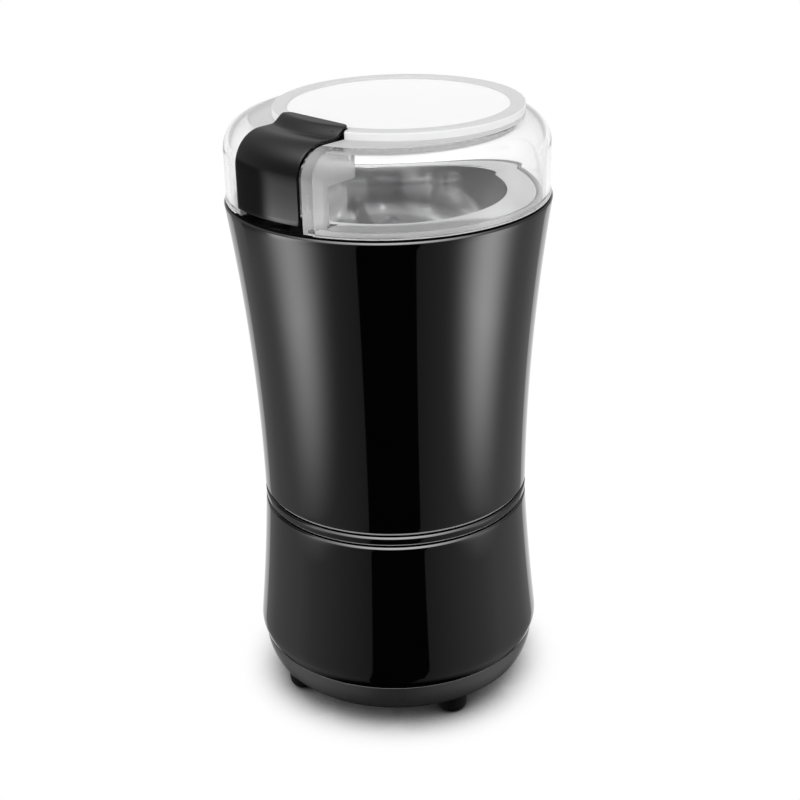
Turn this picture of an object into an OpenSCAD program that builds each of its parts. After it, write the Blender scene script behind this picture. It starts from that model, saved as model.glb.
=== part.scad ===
// Electric blade grinder with a clear lid that carries the run switch's button.
// Millimetres, +Z up, origin on the table under the axis. The button is at -Y, the cord inlet at +Y.

/* [Heights] */
// Height of the rubber feet below the base plate
foot_h = 6.2; // [4:0.1:9]
// Height of the base plate's visible band
base_h = 9.5; // [8:0.1:14]
// Height of the lower housing
lower_h = 46.7; // [40:0.1:56]
// Height of the trim ring at the waist
trim_h = 3.6; // [3:0.1:6]
// Height of the upper housing
upper_h = 90.3; // [86:0.1:100]
// Height of the deck's visible edge
deck_t = 0.7; // [0.5:0.1:2.5]
// Height of the lid above the deck
lid_h = 24.5; // [23:0.1:32]

/* [Radii] */
// Seam between base plate and lower housing
seam_r = 42.7; // [41:0.1:46]
// How far the base plate draws in below the seam
base_taper = 2.8; // [1:0.1:4]
// Radius of the lower housing's rounded foot
lower_round = 8; // [6:0.5:12]
// Height of the rounded foot above the seam
lower_round_h = 4; // [3:0.1:5]
// Waist, where the trim ring sits
waist_r = 40.1; // [38:0.1:42]
// Top edge of the upper housing
rim_r = 46.9; // [44:0.1:50]
// How far the deck's edge stands out past the upper housing's flat top
deck_lip = 0; // [0:0.05:1]
// How far the upper wall's arc bows in from a straight line
upper_sag = 1.6; // [1:0.1:1.7]
// How far the lower wall's arc bows in from a straight line
lower_sag = 0.3; // [0.1:0.05:0.8]
// How far the base plate's side bows out
base_bulge = 0.7; // [0.3:0.1:1.2]
// Wall of the housings and the base plate
wall = 2; // [1.6:0.1:2.2]
// Chamfer on the edges at the trim ring's grooves
groove = 0.5; // [0.3:0.1:0.8]

/* [Lid] */
// How far the lid's wall stands in from the deck's edge
lid_inset = 0.3; // [0.3:0.1:1.5]
// Wall of the clear lid
lid_wall = 2.2; // [1.8:0.1:2.6]
// Rounding of the lid's shoulder
shoulder_r = 8.2; // [6:0.1:9]
// Height of the raised round top above the shoulder
plinth_h = 2.3; // [1.5:0.1:3]
// Distance of the raised top's edge from the lid's back
plinth_edge = 5.55; // [4:0.05:7]
// How far the raised top sits behind the axis
plinth_off = 4.9; // [4:0.1:5.2]
// Width of the raised top's flat lip
lip_w = 4.15; // [3:0.05:6]
// Depth of the dish inside the lip
dish_d = 0.8; // [0.4:0.1:1.2]

/* [Button] */
// Width of the press button
button_w = 24.6; // [22:0.1:26]
// How far the button stands proud of the lid
button_proud = 0.9; // [0.5:0.1:1.2]
// Wall of the button
button_t = 2.2; // [1.8:0.1:2.6]
// Height of the button's lower edge above the deck
button_low = 2.4; // [2.2:0.1:4]
// Reach of the button's strip from the lid's front
button_reach = 20.5; // [20:0.1:21]
// Gap between the button and its pocket
button_gap = 0.4; // [0.3:0.05:0.6]
// Distance of the hinge pin from the lid's front
hinge_in = 18.1; // [17.4:0.1:18.3]
// Hinge pin's height below the raised top
hinge_drop = 8; // [7:0.1:9]
// Radius of the hinge pin
hinge_r = 1.2; // [0.8:0.1:1.4]
// Wall of the button's pocket in the lid
pocket_wall = 1.6; // [1.2:0.1:2]

/* [Bowl and blade] */
// Room between the bowl and the upper housing, where the switch's rod passes
bowl_room = 6.9; // [6.5:0.1:9]
// Depth of the bowl below the deck
bowl_depth = 37.7; // [34:0.1:40]
// Sheet thickness of the bowl
bowl_t = 0.6; // [0.5:0.1:1]
// Rounding between the bowl's wall and floor
bowl_fillet = 9; // [5:0.5:14]
// Width of the bowl's flange beside the switch
bowl_flange_w = 2; // [1.2:0.1:2.2]
// Gap between the blade's tips and the bowl
blade_gap = 5.1; // [2:0.1:10]
// Thickness of the blade
blade_t = 1.2; // [0.8:0.1:2]
// Upward bend of the blade tips, degrees
blade_bend = 16; // [5:1:22]

/* [Motor] */
// Radius of the drive shaft
shaft_r = 3; // [2.5:0.1:3.4]
// Height of the stator and armature stacks
stack_h = 24; // [18:0.5:26]
// Room between the stator and the housing's screw pillars
motor_room = 2.2; // [1:0.1:4]
// How much narrower the stator is across its poles
stator_flat = 4; // [2:0.5:6]
// Thickness of a field coil along its pole
coil_t = 3.8; // [2.5:0.1:5]
// Air gap around the armature
air_gap = 0.4; // [0.3:0.05:0.8]
// Number of armature slots
slots = 12; // [8:1:16]
// Radius of the commutator
commutator_r = 9; // [8:0.1:9.5]
// Number of fan blades
fan_blades = 9; // [5:1:12]
// Radius of the cooling fan
fan_r = 24; // [18:0.5:28]
// Turn of the motor about the axis, degrees
motor_turn = 27.7; // [20:0.1:35]
// Turn of the feet about the axis, degrees
feet_turn = -17.3; // [-25:0.1:-10]

/* [Base] */
// Radius of a foot
foot_r = 5; // [4:0.1:5.5]
// Distance of a foot from the base plate's edge
foot_edge = 0.9; // [0.5:0.1:4]
// Radius of the hole for the cord
cord_r = 3; // [2.5:0.1:3.5]
// Height of the cord's inlet above the seam
cord_h = 11; // [9:0.1:20]

/* [Fits] */
// Gap between a shaft or pin and the bore it turns in
run_gap = 0.05; // [0.03:0.01:0.09]
// Gap between pieces that are fitted together
fit_gap = 0.1; // [0.05:0.05:0.2]
// Gap between pieces that move past each other
move_gap = 0.3; // [0.3:0.05:0.5]

/* [Hidden] */

$fn = 96;
// Facets of the wide arcs in the housings' walls
wide_fn = 720;
// Overlap used where a cut must pass a face
cut = 1;
// Longer than any cut through the part
far = 200;

// Levels from the table up
base_z = foot_h;
seam_z = base_z + base_h;
trim_z = seam_z + lower_h;
upper_z = trim_z + trim_h;
deck_under_z = upper_z + upper_h;
deck_z = deck_under_z + deck_t;
lid_z = deck_z + lid_h;

// Arc through two points [r, z] that bows towards the axis: its radius and its centre
function arc_r(p, q, sag) = norm(q - p) ^ 2 / (8 * sag) + sag / 2;
function arc_side(p, q) = [q[1] - p[1], p[0] - q[0]] / norm(q - p);
function arc_c(p, q, sag) = (p + q) / 2 + arc_side(p, q) * (arc_r(p, q, sag) - sag);
function arc_wall_r(p, q, sag, inset, z) =
    arc_c(p, q, sag)[0] - sqrt((arc_r(p, q, sag) + inset) ^ 2 - (z - arc_c(p, q, sag)[1]) ^ 2);

// Radii that line up
deck_r = rim_r - groove + deck_lip;
lid_r = deck_r - lid_inset;
base_low_r = seam_r - base_taper;
lower_max_r = seam_r + lower_round - sqrt(lower_round ^ 2 - lower_round_h ^ 2);
plinth_r = lid_r - plinth_off - plinth_edge;
button_end = lid_r - button_reach;
hinge_y = lid_r - hinge_in;
feet_ring = base_low_r - foot_edge - foot_r;

upper_foot = [waist_r, upper_z];
upper_rim = [rim_r, deck_under_z];
lower_foot = [lower_max_r, seam_z + lower_round_h];
lower_top = [waist_r, trim_z];
function upper_in(z) = arc_wall_r(upper_foot, upper_rim, upper_sag, wall, z);
function lower_in(z) = arc_wall_r(lower_foot, lower_top, lower_sag, wall, z);
function lower_out(z) = arc_wall_r(lower_foot, lower_top, lower_sag, 0, z);

// Waist: spigot of the upper housing, which carries the trim ring and the lower housing
spigot_t = 1.6;
spigot_h = 4;
spigot_r = min(waist_r - wall, lower_in(trim_z - spigot_h)) - fit_gap;
spigot_root = 6;
base_lip_h = 3;
base_lip_gap = 0.9;
base_lip_r = seam_r - wall - base_lip_gap;
screw_r = 1.5;
screw_head_r = 2.8;
screw_head_h = 1.8;
boss_wall = 1.4;
pillar_r = 3;
pillar_ring = min(spigot_r - spigot_t / 2, base_lip_r - wall - move_gap) - pillar_r;
pillar_top = upper_z + spigot_root / 2;
pillar_lift = 1;
pillar_z = seam_z + pillar_lift;
base_screw_l = 18;
screw_depth = 4;
screw_seat = base_z + screw_depth;

// Deck, bowl and its holder
holder_wall = 1.7;
plunger_head_r = 2.4;
plunger_bore_r = plunger_head_r + run_gap;
guide_bite = 0.35;
guide_h = 13.8;
guide_t = 1.2;
guide_z = deck_under_z - guide_h;
guide_reach = bowl_t + move_gap + holder_wall - guide_bite + 2 * plunger_bore_r + guide_t;
bowl_floor = deck_z - bowl_depth;
bowl_r = min(upper_in(bowl_floor) - bowl_room, upper_in(guide_z) - guide_reach - move_gap);
bowl_flange_r = bowl_r + bowl_t + bowl_flange_w;
blade_l = bowl_r - blade_gap;
well_r = bowl_r + bowl_t + move_gap;
well_out = well_r + holder_wall;
holder_floor = bowl_floor - bowl_t;
holder_floor_t = 2.5;
holder_z = holder_floor - holder_floor_t;
deck_spigot_h = 4.5;
deck_spigot_r = upper_in(deck_under_z - deck_spigot_h) - fit_gap;
collar_h = 1;
collar_t = 1.2;
collar_r = lid_r - lid_wall - move_gap;
deck_core = 1;
deck_core_z = deck_under_z - deck_core;
bowl_rim_r = collar_r - collar_t - move_gap;
shaft_hole_r = 7.2;
flange_t = 0.8;
seal_flange_r = 10;
seal_h = 2;

// Switch: button hinge, plunger and microswitch, all in the plane x = 0
pocket_half = button_w / 2 + button_gap;
pocket_round = 3;
pocket_back_round = 1;
hinge_z = lid_z - hinge_drop;
ear_t = 2.4;
ear_in = 3.1;
ear_x = button_w / 2 - ear_in;
ear_wall = 1.1;
ear_r = hinge_r + ear_wall;
ear_room = 1;
pocket_end = min(button_end, hinge_y - ear_r) - button_gap;
shelf_z = hinge_z - ear_r - ear_room;
plunger_head_h = 3.4;
plunger_drop = 1;
plunger_travel = 1;
plunger_y = well_out + plunger_bore_r - guide_bite;
leg_room = 2.2;
pocket_back = plunger_y - leg_room;
rod_r = 1;
guide_floor = 1.5;
head_z = deck_z - plunger_drop;
leg_r = 1.2;
leg_offset = 0.9;
leg_y = plunger_y + leg_offset;
leg_z = head_z + move_gap;
lug_w = 3;
lug_h = 4;
lug_r = deck_spigot_r - collar_t - 2 * move_gap;
lug_y = sqrt(lug_r ^ 2 - (pocket_half + pocket_wall) ^ 2) - lug_w;
switch_l = 12.8;
switch_d = 5.8;
switch_h = 6.5;
terminal_w = 2.4;
terminal_t = 0.6;
terminal_l = 3.5;
nub_r = 0.9;
nub_up = plunger_travel + move_gap;
nub_in = 1.2;
foot_bar_t = 2.4;
foot_room = 1.5;
foot_z = holder_z - foot_room - foot_bar_t;
switch_top = foot_z - nub_up;
switch_plate_t = 1.6;
small_r = 1;
small_head_r = 1.8;
small_head_h = 1.2;
small_grip = 1.8;
switch_screw_x = 4;
switch_wall_r = upper_in(switch_top - switch_h) - move_gap;
switch_back = sqrt(switch_wall_r ^ 2 - (switch_screw_x + small_head_r) ^ 2) - small_head_h - switch_d;
nub_y = switch_back + switch_d / 2;

// Motor, hung from the bowl holder
mount_x = 15;
mount_y = 13;
mount_r = 3.5;
mount_h = 8;
damper_h = 2;
bracket_t = 2.5;
bracket_top = holder_z - mount_h - damper_h;
upper_leg_h = 13.5;
lower_leg_h = 27;
leg_tube_r = 3.5;
bolt_r = 1.5;
stator_w = 2 * (pillar_ring - pillar_r - motor_room);
stator_d = stator_w - stator_flat;
bolt_edge = 4;
bolt_x = stator_w / 2 - bolt_edge;
thread_end = 1;
damper_edge = 1;
stack_top = bracket_top - bracket_t - upper_leg_h;
stack_z = stack_top - stack_h;
plate_top = stack_z - lower_leg_h;
plate_t = 3;
bearing_r = 6;
bearing_h = 8;
bearing_wall = 3;
bearing_lip = 1;
upper_bearing_drop = 3;
lower_bearing_drop = 2;
upper_bearing_z = bracket_top - bracket_t - upper_bearing_drop;
lower_bearing_z = plate_top - plate_t - lower_bearing_drop;
shoe_t = 2.6;
pole_w = 20;
yoke_x = 8;
yoke_y = 5;
bore_r = stator_d / 2 - yoke_y - coil_t - 2 * fit_gap - shoe_t;
armature_r = bore_r - air_gap;
winding_h = 8.5;
winding_step = 1.5;
winding_r = armature_r - winding_step;
stator_round = 12;
window_round = 3;
coil_room = 3.3;
coil_w = stator_w / 2 - yoke_x - pole_w / 2 - 2 * fit_gap - coil_room;
commutator_h = 12;
commutator_rise = 5;
commutator_z = plate_top + commutator_rise;
commutator_slot = 0.4;
brush_z = commutator_z + commutator_h / 2;
brush_w = 5;
brush_h = 6.4;
tube_wall = 0.9;
tube_gap = 2;
tube_in = commutator_r + tube_gap;
tube_out = 25;
brush_in = commutator_r + move_gap;
brush_out = 20;
cap_t = 1.5;
cap_plug = 0.5;
washer_t = 0.8;
washer_r = 5.5;
fan_h = 7;
fan_plate = 1.2;
fan_gap = 1;
fan_z = lower_bearing_z - bearing_lip - fan_gap - fan_h;
fan_hub_r = 6;
shaft_end = 1;
shaft_low = fan_z - shaft_end;
blade_rise = 2.2;
blade_z = bowl_floor + seal_h + blade_rise;
tip_step = 1;
tip_r = shaft_r - tip_step;
nut_r = 4.2;
nut_h = 3;
shaft_top = blade_z + blade_t + nut_h;

// Springs: mean radius, wire radius, turns
spring_sides = 6;
spring_rings = 8;
button_spring_r = 2.1;
spring_edge = 1;
button_spring_y = pocket_back - spring_edge - button_spring_r;
button_spring_l = lid_z - plinth_h + button_proud - button_t - shelf_z - 2 * fit_gap;
plunger_spring_r = 1.75;
plunger_spring_l = head_z - plunger_head_h - guide_z - guide_floor - 2 * fit_gap;
brush_spring_r = 1.9;
brush_spring_l = tube_out - cap_plug - brush_out - 2 * fit_gap;
wire_r = 0.25;
button_turns = 5;
plunger_turns = 6;
brush_turns = 4;

// A length of tube along a helix, one unbroken closed surface
function helix_at(r, l, turns, a) =
    [r * cos(a), r * sin(a), wire_r + (l - 2 * wire_r) * a / (360 * turns)];
function helix_ring(r, l, turns, a) =
    let (c = helix_at(r, l, turns, a))
    [for (s = [0:spring_sides - 1])
        let (b = 360 * s / spring_sides)
        c + wire_r * [cos(b) * cos(a), cos(b) * sin(a), sin(b)]];
function helix_gap(r, l, turns) =
    min([for (i = [0:spring_rings * (turns - 1)])
        norm(helix_at(r, l, turns, 360 * i / spring_rings)
            - helix_at(r, l, turns, 360 * (i / spring_rings + 1)))]) - 2 * wire_r;

module coil_spring(r, l, turns) {
    steps = spring_rings * turns;
    points = [for (i = [0:steps]) each helix_ring(r, l, turns, 360 * i / spring_rings)];
    n = spring_sides;
    sides = [for (i = [0:steps - 1], s = [0:n - 1])
        let (a = i * n + s, b = i * n + (s + 1) % n)
        each [[a, a + n, b], [b, a + n, b + n]]];
    first = [for (s = [1:n - 2]) [0, s, s + 1]];
    last = [for (s = [1:n - 2]) [steps * n, steps * n + s + 1, steps * n + s]];
    polyhedron(points = points, faces = concat(sides, first, last));
}

echo(button_spring_gap = helix_gap(button_spring_r, button_spring_l, button_turns));
echo(plunger_spring_gap = helix_gap(plunger_spring_r, plunger_spring_l, plunger_turns));
echo(brush_spring_gap = helix_gap(brush_spring_r, brush_spring_l, brush_turns));

// Shared shapes
module ring(r_in, r_out, z, h) {
    translate([0, 0, z])
        difference() {
            cylinder(r = r_out, h = h);
            translate([0, 0, -cut]) cylinder(r = r_in, h = h + 2 * cut);
        }
}

module block(x, y, z) {
    translate([x[0], y[0], z[0]]) cube([x[1] - x[0], y[1] - y[0], z[1] - z[0]]);
}

function span(middle, size) = [middle - size / 2, middle + size / 2];

module along_y(r, y, z) {
    translate([0, y[0], z]) rotate([-90, 0, 0]) cylinder(r = r, h = y[1] - y[0]);
}

module along_x(r, x, y, z) {
    translate([x[0], y, z]) rotate([0, 90, 0]) cylinder(r = r, h = x[1] - x[0]);
}

module around(count, turn, radius) {
    for (i = [0:count - 1])
        rotate(turn + 360 * i / count) translate([radius, 0, 0]) children();
}

module motor_frame() {
    rotate(motor_turn) children();
}

module both_sides() {
    for (a = [0, 180]) rotate(a) children();
}

module rounded_rect(w, d, r) {
    square([w, d - 2 * r], center = true);
    square([w - 2 * r, d], center = true);
    for (x = [-1, 1], y = [-1, 1])
        translate([x * (w / 2 - r), y * (d / 2 - r)]) circle(r);
}

// Half section between the axis and a wall's arc, moved in by inset
module arc_section(p, q, sag, inset, z) {
    difference() {
        translate([0, z[0]]) square([max(p[0], q[0]) + cut, z[1] - z[0]]);
        translate(arc_c(p, q, sag)) circle(r = arc_r(p, q, sag) + inset, $fn = wide_fn);
    }
}

// Half section of an edge chamfer: up is 1 for a bottom edge, -1 for a top edge
module edge_cut(r, z, size, up) {
    polygon([[r - size, z - up * cut], [r - size, z], [r + cut, z + up * (size + cut)],
        [r + cut, z - up * cut]]);
}

// Upper housing
module upper_housing() {
    color([0.02, 0.02, 0.025])
    difference() {
        union() {
            rotate_extrude() {
                difference() {
                    arc_section(upper_foot, upper_rim, upper_sag, 0, [upper_z, deck_under_z]);
                    arc_section(upper_foot, upper_rim, upper_sag, wall,
                        [upper_z - cut, deck_under_z + cut]);
                    edge_cut(waist_r, upper_z, groove, 1);
                    edge_cut(rim_r, deck_under_z, groove, -1);
                }
                translate([spigot_r - spigot_t, upper_z])
                    square([waist_r - wall / 2 - spigot_r + spigot_t, spigot_root]);
                translate([spigot_r - spigot_t, trim_z - spigot_h])
                    square([spigot_t, trim_h + spigot_h + spigot_root / 2]);
            }
            around(4, motor_turn, pillar_ring)
                translate([0, 0, pillar_z]) cylinder(r = pillar_r, h = pillar_top - pillar_z);
            around(4, motor_turn, 0)
                block([pillar_ring, spigot_r - spigot_t / 2], span(0, pillar_r), [trim_z, pillar_top]);
        }
        around(4, motor_turn, pillar_ring)
            translate([0, 0, pillar_z - cut])
                cylinder(r = screw_r + fit_gap, h = base_screw_l - screw_head_h + 2 * cut);
    }
}

// Trim ring
module trim_ring() {
    color([0.03, 0.03, 0.035])
    rotate_extrude() difference() {
        translate([spigot_r + fit_gap, trim_z]) square([waist_r - spigot_r - fit_gap, trim_h]);
        edge_cut(waist_r, trim_z, groove, 1);
        edge_cut(waist_r, upper_z, groove, -1);
    }
}

// Lower housing
gland_wall = 1.6;
gland_r = cord_r + gland_wall;
gland_flange_r = gland_r + gland_wall;
gland_flange_t = 1.8;
gland_proud = 0.6;
gland_reach = 4;
gland_z = seam_z + cord_h;
gland_seat = lower_out(gland_z) - gland_flange_t + gland_proud;
gland_in = lower_in(gland_z) - gland_reach;

module lower_section(inset) {
    intersection() {
        arc_section(lower_foot, lower_top, lower_sag, inset, [seam_z, trim_z]);
        union() {
            translate([0, seam_z + lower_round_h]) square([lower_max_r + cut, lower_h]);
            translate([lower_max_r - lower_round, seam_z + lower_round_h]) circle(r = lower_round - inset);
            translate([0, seam_z]) square([lower_max_r - lower_round, lower_h]);
        }
    }
}

module lower_housing() {
    color([0.02, 0.02, 0.025])
    difference() {
        rotate_extrude() difference() {
            lower_section(0);
            lower_section(wall);
            translate([0, seam_z - cut]) square([lower_in(seam_z) - wall, 2 * cut]);
            edge_cut(waist_r, trim_z, groove, -1);
        }
        along_y(gland_r + fit_gap, [0, far], gland_z);
        along_y(gland_flange_r + fit_gap, [gland_seat, far], gland_z);
    }
}

// Cord gland: a flanged rubber bush in the back of the lower housing
module cord_gland() {
    color([0.06, 0.06, 0.06])
    difference() {
        union() {
            along_y(gland_r, [gland_in, gland_seat + gland_flange_t], gland_z);
            along_y(gland_flange_r, [gland_seat, gland_seat + gland_flange_t], gland_z);
        }
        along_y(cord_r, [gland_in - cut, gland_seat + gland_flange_t + cut], gland_z);
    }
}

// Base plate: a shallow dish with vents, screw bosses and seats for the feet
base_edge = 0.6;
peg_r = 2.2;
peg_h = 4;
vent_w = 2.4;
vent_in = 9;
vent_out = 24;
vents = 16;

module base_section(inset) {
    p = [base_low_r, base_z];
    q = [seam_r, seam_z];
    r = norm(q - p) ^ 2 / (8 * base_bulge) + base_bulge / 2;
    c = (p + q) / 2 - arc_side(p, q) * (r - base_bulge);
    intersection() {
        translate([0, base_z + inset]) square([seam_r + base_bulge, base_h]);
        union() {
            translate(c) circle(r = r - inset, $fn = wide_fn);
            square([c[0], far]);
        }
    }
}

module base_plate() {
    color([0.09, 0.09, 0.095])
    difference() {
        union() {
            rotate_extrude() difference() {
                base_section(0);
                intersection() {
                    base_section(wall);
                    square([base_lip_r - wall, far]);
                }
                edge_cut(base_low_r, base_z, base_edge, 1);
            }
            ring(base_lip_r - wall, base_lip_r, base_z + wall, base_h - wall + base_lip_h);
            around(4, motor_turn, pillar_ring)
                translate([0, 0, base_z + wall / 2])
                    cylinder(r = screw_head_r + boss_wall, h = pillar_z - base_z - wall / 2);
            around(4, feet_turn, feet_ring)
                translate([0, 0, base_z + wall / 2]) cylinder(r = peg_r + boss_wall, h = peg_h);
        }
        around(4, motor_turn, pillar_ring) {
            translate([0, 0, base_z - cut]) cylinder(r = screw_head_r + fit_gap, h = screw_seat - base_z + cut);
            translate([0, 0, base_z]) cylinder(r = screw_r + fit_gap, h = far);
        }
        around(4, feet_turn, feet_ring)
            translate([0, 0, base_z - cut]) cylinder(r = peg_r + fit_gap / 2, h = peg_h + fit_gap + cut);
        for (i = [0:vents - 1])
            rotate(360 * (i + 0.5) / vents)
                block([vent_in, vent_out], span(0, vent_w), [base_z - cut, base_z + wall + cut]);
    }
}

// Rubber feet: a rounded pad with a peg
foot_round = 2.4;
module rubber_foot() {
    rotate_extrude() {
        translate([0, foot_round]) square([foot_r, foot_h - foot_round]);
        square([foot_r - foot_round, foot_h]);
        translate([foot_r - foot_round, foot_round]) intersection() {
            circle(foot_round);
            translate([0, -foot_round]) square([foot_round, 2 * foot_round]);
        }
        square([peg_r, foot_h + peg_h]);
    }
}

module rubber_feet() {
    color([0.03, 0.03, 0.03])
    around(4, feet_turn, feet_ring) rubber_foot();
}

// Screws: pan head below, shank up
module screw(l, head_r, head_h, r) {
    cylinder(r = head_r, h = head_h);
    cylinder(r = r, h = l);
}

module base_screws() {
    color([0.6, 0.6, 0.62])
    around(4, motor_turn, pillar_ring)
        translate([0, 0, screw_seat - screw_head_h])
            screw(base_screw_l, screw_head_r, screw_head_h, screw_r);
}

// Bowl holder: deck, well around the bowl, motor mounts and the plunger's guide
module motor_mounts() {
    for (x = [-1, 1], y = [-1, 1]) translate([x * mount_x, y * mount_y, 0]) children();
}

module lug_slots() {
    for (x = [-1, 1])
        block(span(x * (pocket_half + pocket_wall / 2), pocket_wall + 2 * move_gap),
            [-lug_y - lug_w - move_gap, -lug_y + move_gap], [deck_core_z - cut, deck_z + cut]);
}

module bowl_holder() {
    color([0.03, 0.03, 0.032])
    difference() {
        union() {
            ring(well_r, deck_r, deck_under_z, deck_t);
            ring(well_r, deck_spigot_r, deck_core_z, deck_core + deck_t / 2);
            ring(well_r, well_out, holder_z, deck_under_z - holder_z + deck_t / 2);
            ring(shaft_hole_r, well_out, holder_z, holder_floor_t);
            ring(deck_spigot_r - collar_t, deck_spigot_r, deck_under_z - deck_spigot_h,
                deck_spigot_h + deck_t / 2);
            difference() {
                ring(collar_r - collar_t, collar_r, deck_z - deck_t / 2, deck_t / 2 + collar_h);
                block([-pocket_half - pocket_wall, pocket_half + pocket_wall], [-far, 0], [0, far]);
            }
            motor_frame() motor_mounts()
                translate([0, 0, holder_z - mount_h]) cylinder(r = mount_r, h = mount_h + holder_floor_t / 2);
            translate([0, -plunger_y, guide_z])
                cylinder(r = plunger_bore_r + guide_t, h = guide_h + deck_t / 2);
        }
        translate([0, 0, holder_floor]) cylinder(r = well_r, h = far);
        translate([0, -plunger_y, guide_z + guide_floor]) cylinder(r = plunger_bore_r, h = far);
        translate([0, -plunger_y, guide_z - cut]) cylinder(r = rod_r + move_gap, h = far);
        motor_frame() motor_mounts()
            translate([0, 0, holder_z - mount_h - cut]) cylinder(r = bolt_r + fit_gap, h = mount_h + cut);
        for (x = [-1, 1])
            translate([x * switch_screw_x, -switch_screw_y, holder_z - cut])
                cylinder(r = small_r + fit_gap, h = small_grip + fit_gap + cut);
        lug_slots();
    }
}

// Grinding bowl: drawn steel cup with a centre hole and a wide flange, cut back in front of the switch
module cup_section(r, z, fillet) {
    translate([0, z]) square([r - fillet, deck_z + flange_t - z]);
    translate([0, z + fillet]) square([r, deck_z + flange_t - z - fillet]);
    translate([r - fillet, z + fillet]) intersection() {
        circle(fillet);
        translate([0, -fillet]) square([fillet, fillet]);
    }
}

module flange_section(r_in, r_out) {
    translate([r_in, deck_z]) square([r_out - r_in - flange_t / 2, flange_t]);
    translate([r_out - flange_t / 2, deck_z + flange_t / 2]) circle(flange_t / 2);
}

module grinding_bowl() {
    notch_half = pocket_half + pocket_wall + move_gap;
    color([0.75, 0.76, 0.78])
    union() {
        rotate_extrude() difference() {
            union() {
                cup_section(bowl_r + bowl_t, holder_floor, bowl_fillet + bowl_t);
                flange_section(bowl_r, bowl_flange_r);
            }
            cup_section(bowl_r, bowl_floor, bowl_fillet);
            translate([0, deck_z]) square([bowl_r, far]);
            translate([0, holder_floor - cut]) square([shaft_hole_r, bowl_t + 2 * cut]);
        }
        difference() {
            rotate_extrude() flange_section(bowl_r + bowl_t, bowl_rim_r);
            block([-notch_half, notch_half], [-far, 0], [deck_z - cut, far]);
        }
    }
}

// Shaft seal: flanged rubber bush in the floor of the bowl
module shaft_seal() {
    color([0.12, 0.12, 0.12])
    rotate_extrude() difference() {
        union() {
            translate([0, holder_z]) square([shaft_hole_r - fit_gap, bowl_floor + seal_h - holder_z]);
            translate([0, bowl_floor]) square([seal_flange_r, seal_h / 2]);
        }
        translate([0, holder_z - cut]) square([shaft_r + run_gap, far]);
    }
}

// Rubber dampers between the mounts and the motor's upper bracket
module motor_dampers() {
    color([0.1, 0.1, 0.1])
    motor_frame() motor_mounts() ring(bolt_r + fit_gap, mount_r + damper_edge, bracket_top, damper_h);
}

module motor_screws() {
    color([0.6, 0.6, 0.62])
    motor_frame() motor_mounts()
        translate([0, 0, bracket_top - bracket_t - screw_head_h])
            screw(screw_head_h + bracket_t + damper_h + mount_h - thread_end,
                screw_head_r, screw_head_h, bolt_r);
}

// Upper bracket: plate, bearing cup and two legs that stand on the stator
module bolt_places() {
    for (x = [-1, 1]) translate([x * bolt_x, 0, 0]) children();
}

module upper_bracket() {
    z = bracket_top - bracket_t;
    color([0.55, 0.56, 0.58])
    motor_frame() difference() {
        union() {
            translate([0, 0, z]) linear_extrude(bracket_t) {
                rounded_rect(2 * (mount_x + mount_r), 2 * (mount_y + mount_r), mount_r);
                rounded_rect(2 * (bolt_x + leg_tube_r), 2 * leg_tube_r, leg_tube_r - fit_gap);
            }
            bolt_places() translate([0, 0, stack_top]) cylinder(r = leg_tube_r, h = z - stack_top + cut);
            translate([0, 0, upper_bearing_z])
                cylinder(r = bearing_r + bearing_wall, h = bearing_h + bearing_lip);
        }
        translate([0, 0, upper_bearing_z - cut]) cylinder(r = bearing_r + run_gap, h = bearing_h + cut);
        cylinder(r = shaft_r + move_gap, h = far);
        bolt_places() translate([0, 0, stack_top - cut]) cylinder(r = bolt_r + fit_gap, h = far);
        motor_mounts() cylinder(r = bolt_r + fit_gap, h = far);
    }
}

// Lower bracket: moulded cross with bearing cup, legs and brush posts
post_w = 7;
post_y = 18;
module lower_bracket() {
    z = plate_top - plate_t;
    color([0.18, 0.17, 0.16])
    motor_frame() difference() {
        union() {
            translate([0, 0, z]) linear_extrude(plate_t) {
                rounded_rect(2 * (bolt_x + leg_tube_r), 2 * leg_tube_r, leg_tube_r - fit_gap);
                rounded_rect(2 * post_w, 2 * (post_y + post_w / 2), post_w / 2);
            }
            bolt_places() translate([0, 0, z]) cylinder(r = leg_tube_r, h = stack_z - z);
            translate([0, 0, lower_bearing_z - bearing_lip])
                cylinder(r = bearing_r + bearing_wall, h = bearing_h + bearing_lip);
            both_sides() block([-post_w / 2, post_w / 2], [post_y - post_w / 2, post_y + post_w / 2],
                [z, brush_z - brush_h / 2 - tube_wall - fit_gap]);
        }
        translate([0, 0, lower_bearing_z]) cylinder(r = bearing_r + run_gap, h = far);
        translate([0, 0, z - far / 2]) cylinder(r = shaft_r + move_gap, h = far);
        bolt_places() translate([0, 0, z - cut]) cylinder(r = bolt_r + fit_gap, h = far);
    }
}

// Plain sintered bearings
module upper_bearing() {
    color([0.62, 0.5, 0.32])
    ring(shaft_r + run_gap, bearing_r, upper_bearing_z, bearing_h);
}

module lower_bearing() {
    color([0.62, 0.5, 0.32])
    ring(shaft_r + run_gap, bearing_r, lower_bearing_z, bearing_h);
}

// Stator: two poles in a rounded frame
shoe_half = 52;
module stator_core() {
    color([0.4, 0.41, 0.43])
    motor_frame() translate([0, 0, stack_z]) linear_extrude(stack_h) difference() {
        union() {
            difference() {
                rounded_rect(stator_w, stator_d, stator_round);
                rounded_rect(stator_w - 2 * yoke_x, stator_d - 2 * yoke_y, window_round);
            }
            for (a = [0, 180]) rotate(a) {
                translate([-pole_w / 2, 0]) square([pole_w, stator_d / 2 - yoke_y + cut]);
                intersection() {
                    circle(bore_r + shoe_t);
                    polygon([[0, 0], far * [sin(shoe_half), cos(shoe_half)], [0, 2 * far],
                        far * [-sin(shoe_half), cos(shoe_half)]]);
                }
            }
        }
        circle(bore_r);
        for (x = [-1, 1]) translate([x * bolt_x, 0]) circle(bolt_r + fit_gap);
    }
}

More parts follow.
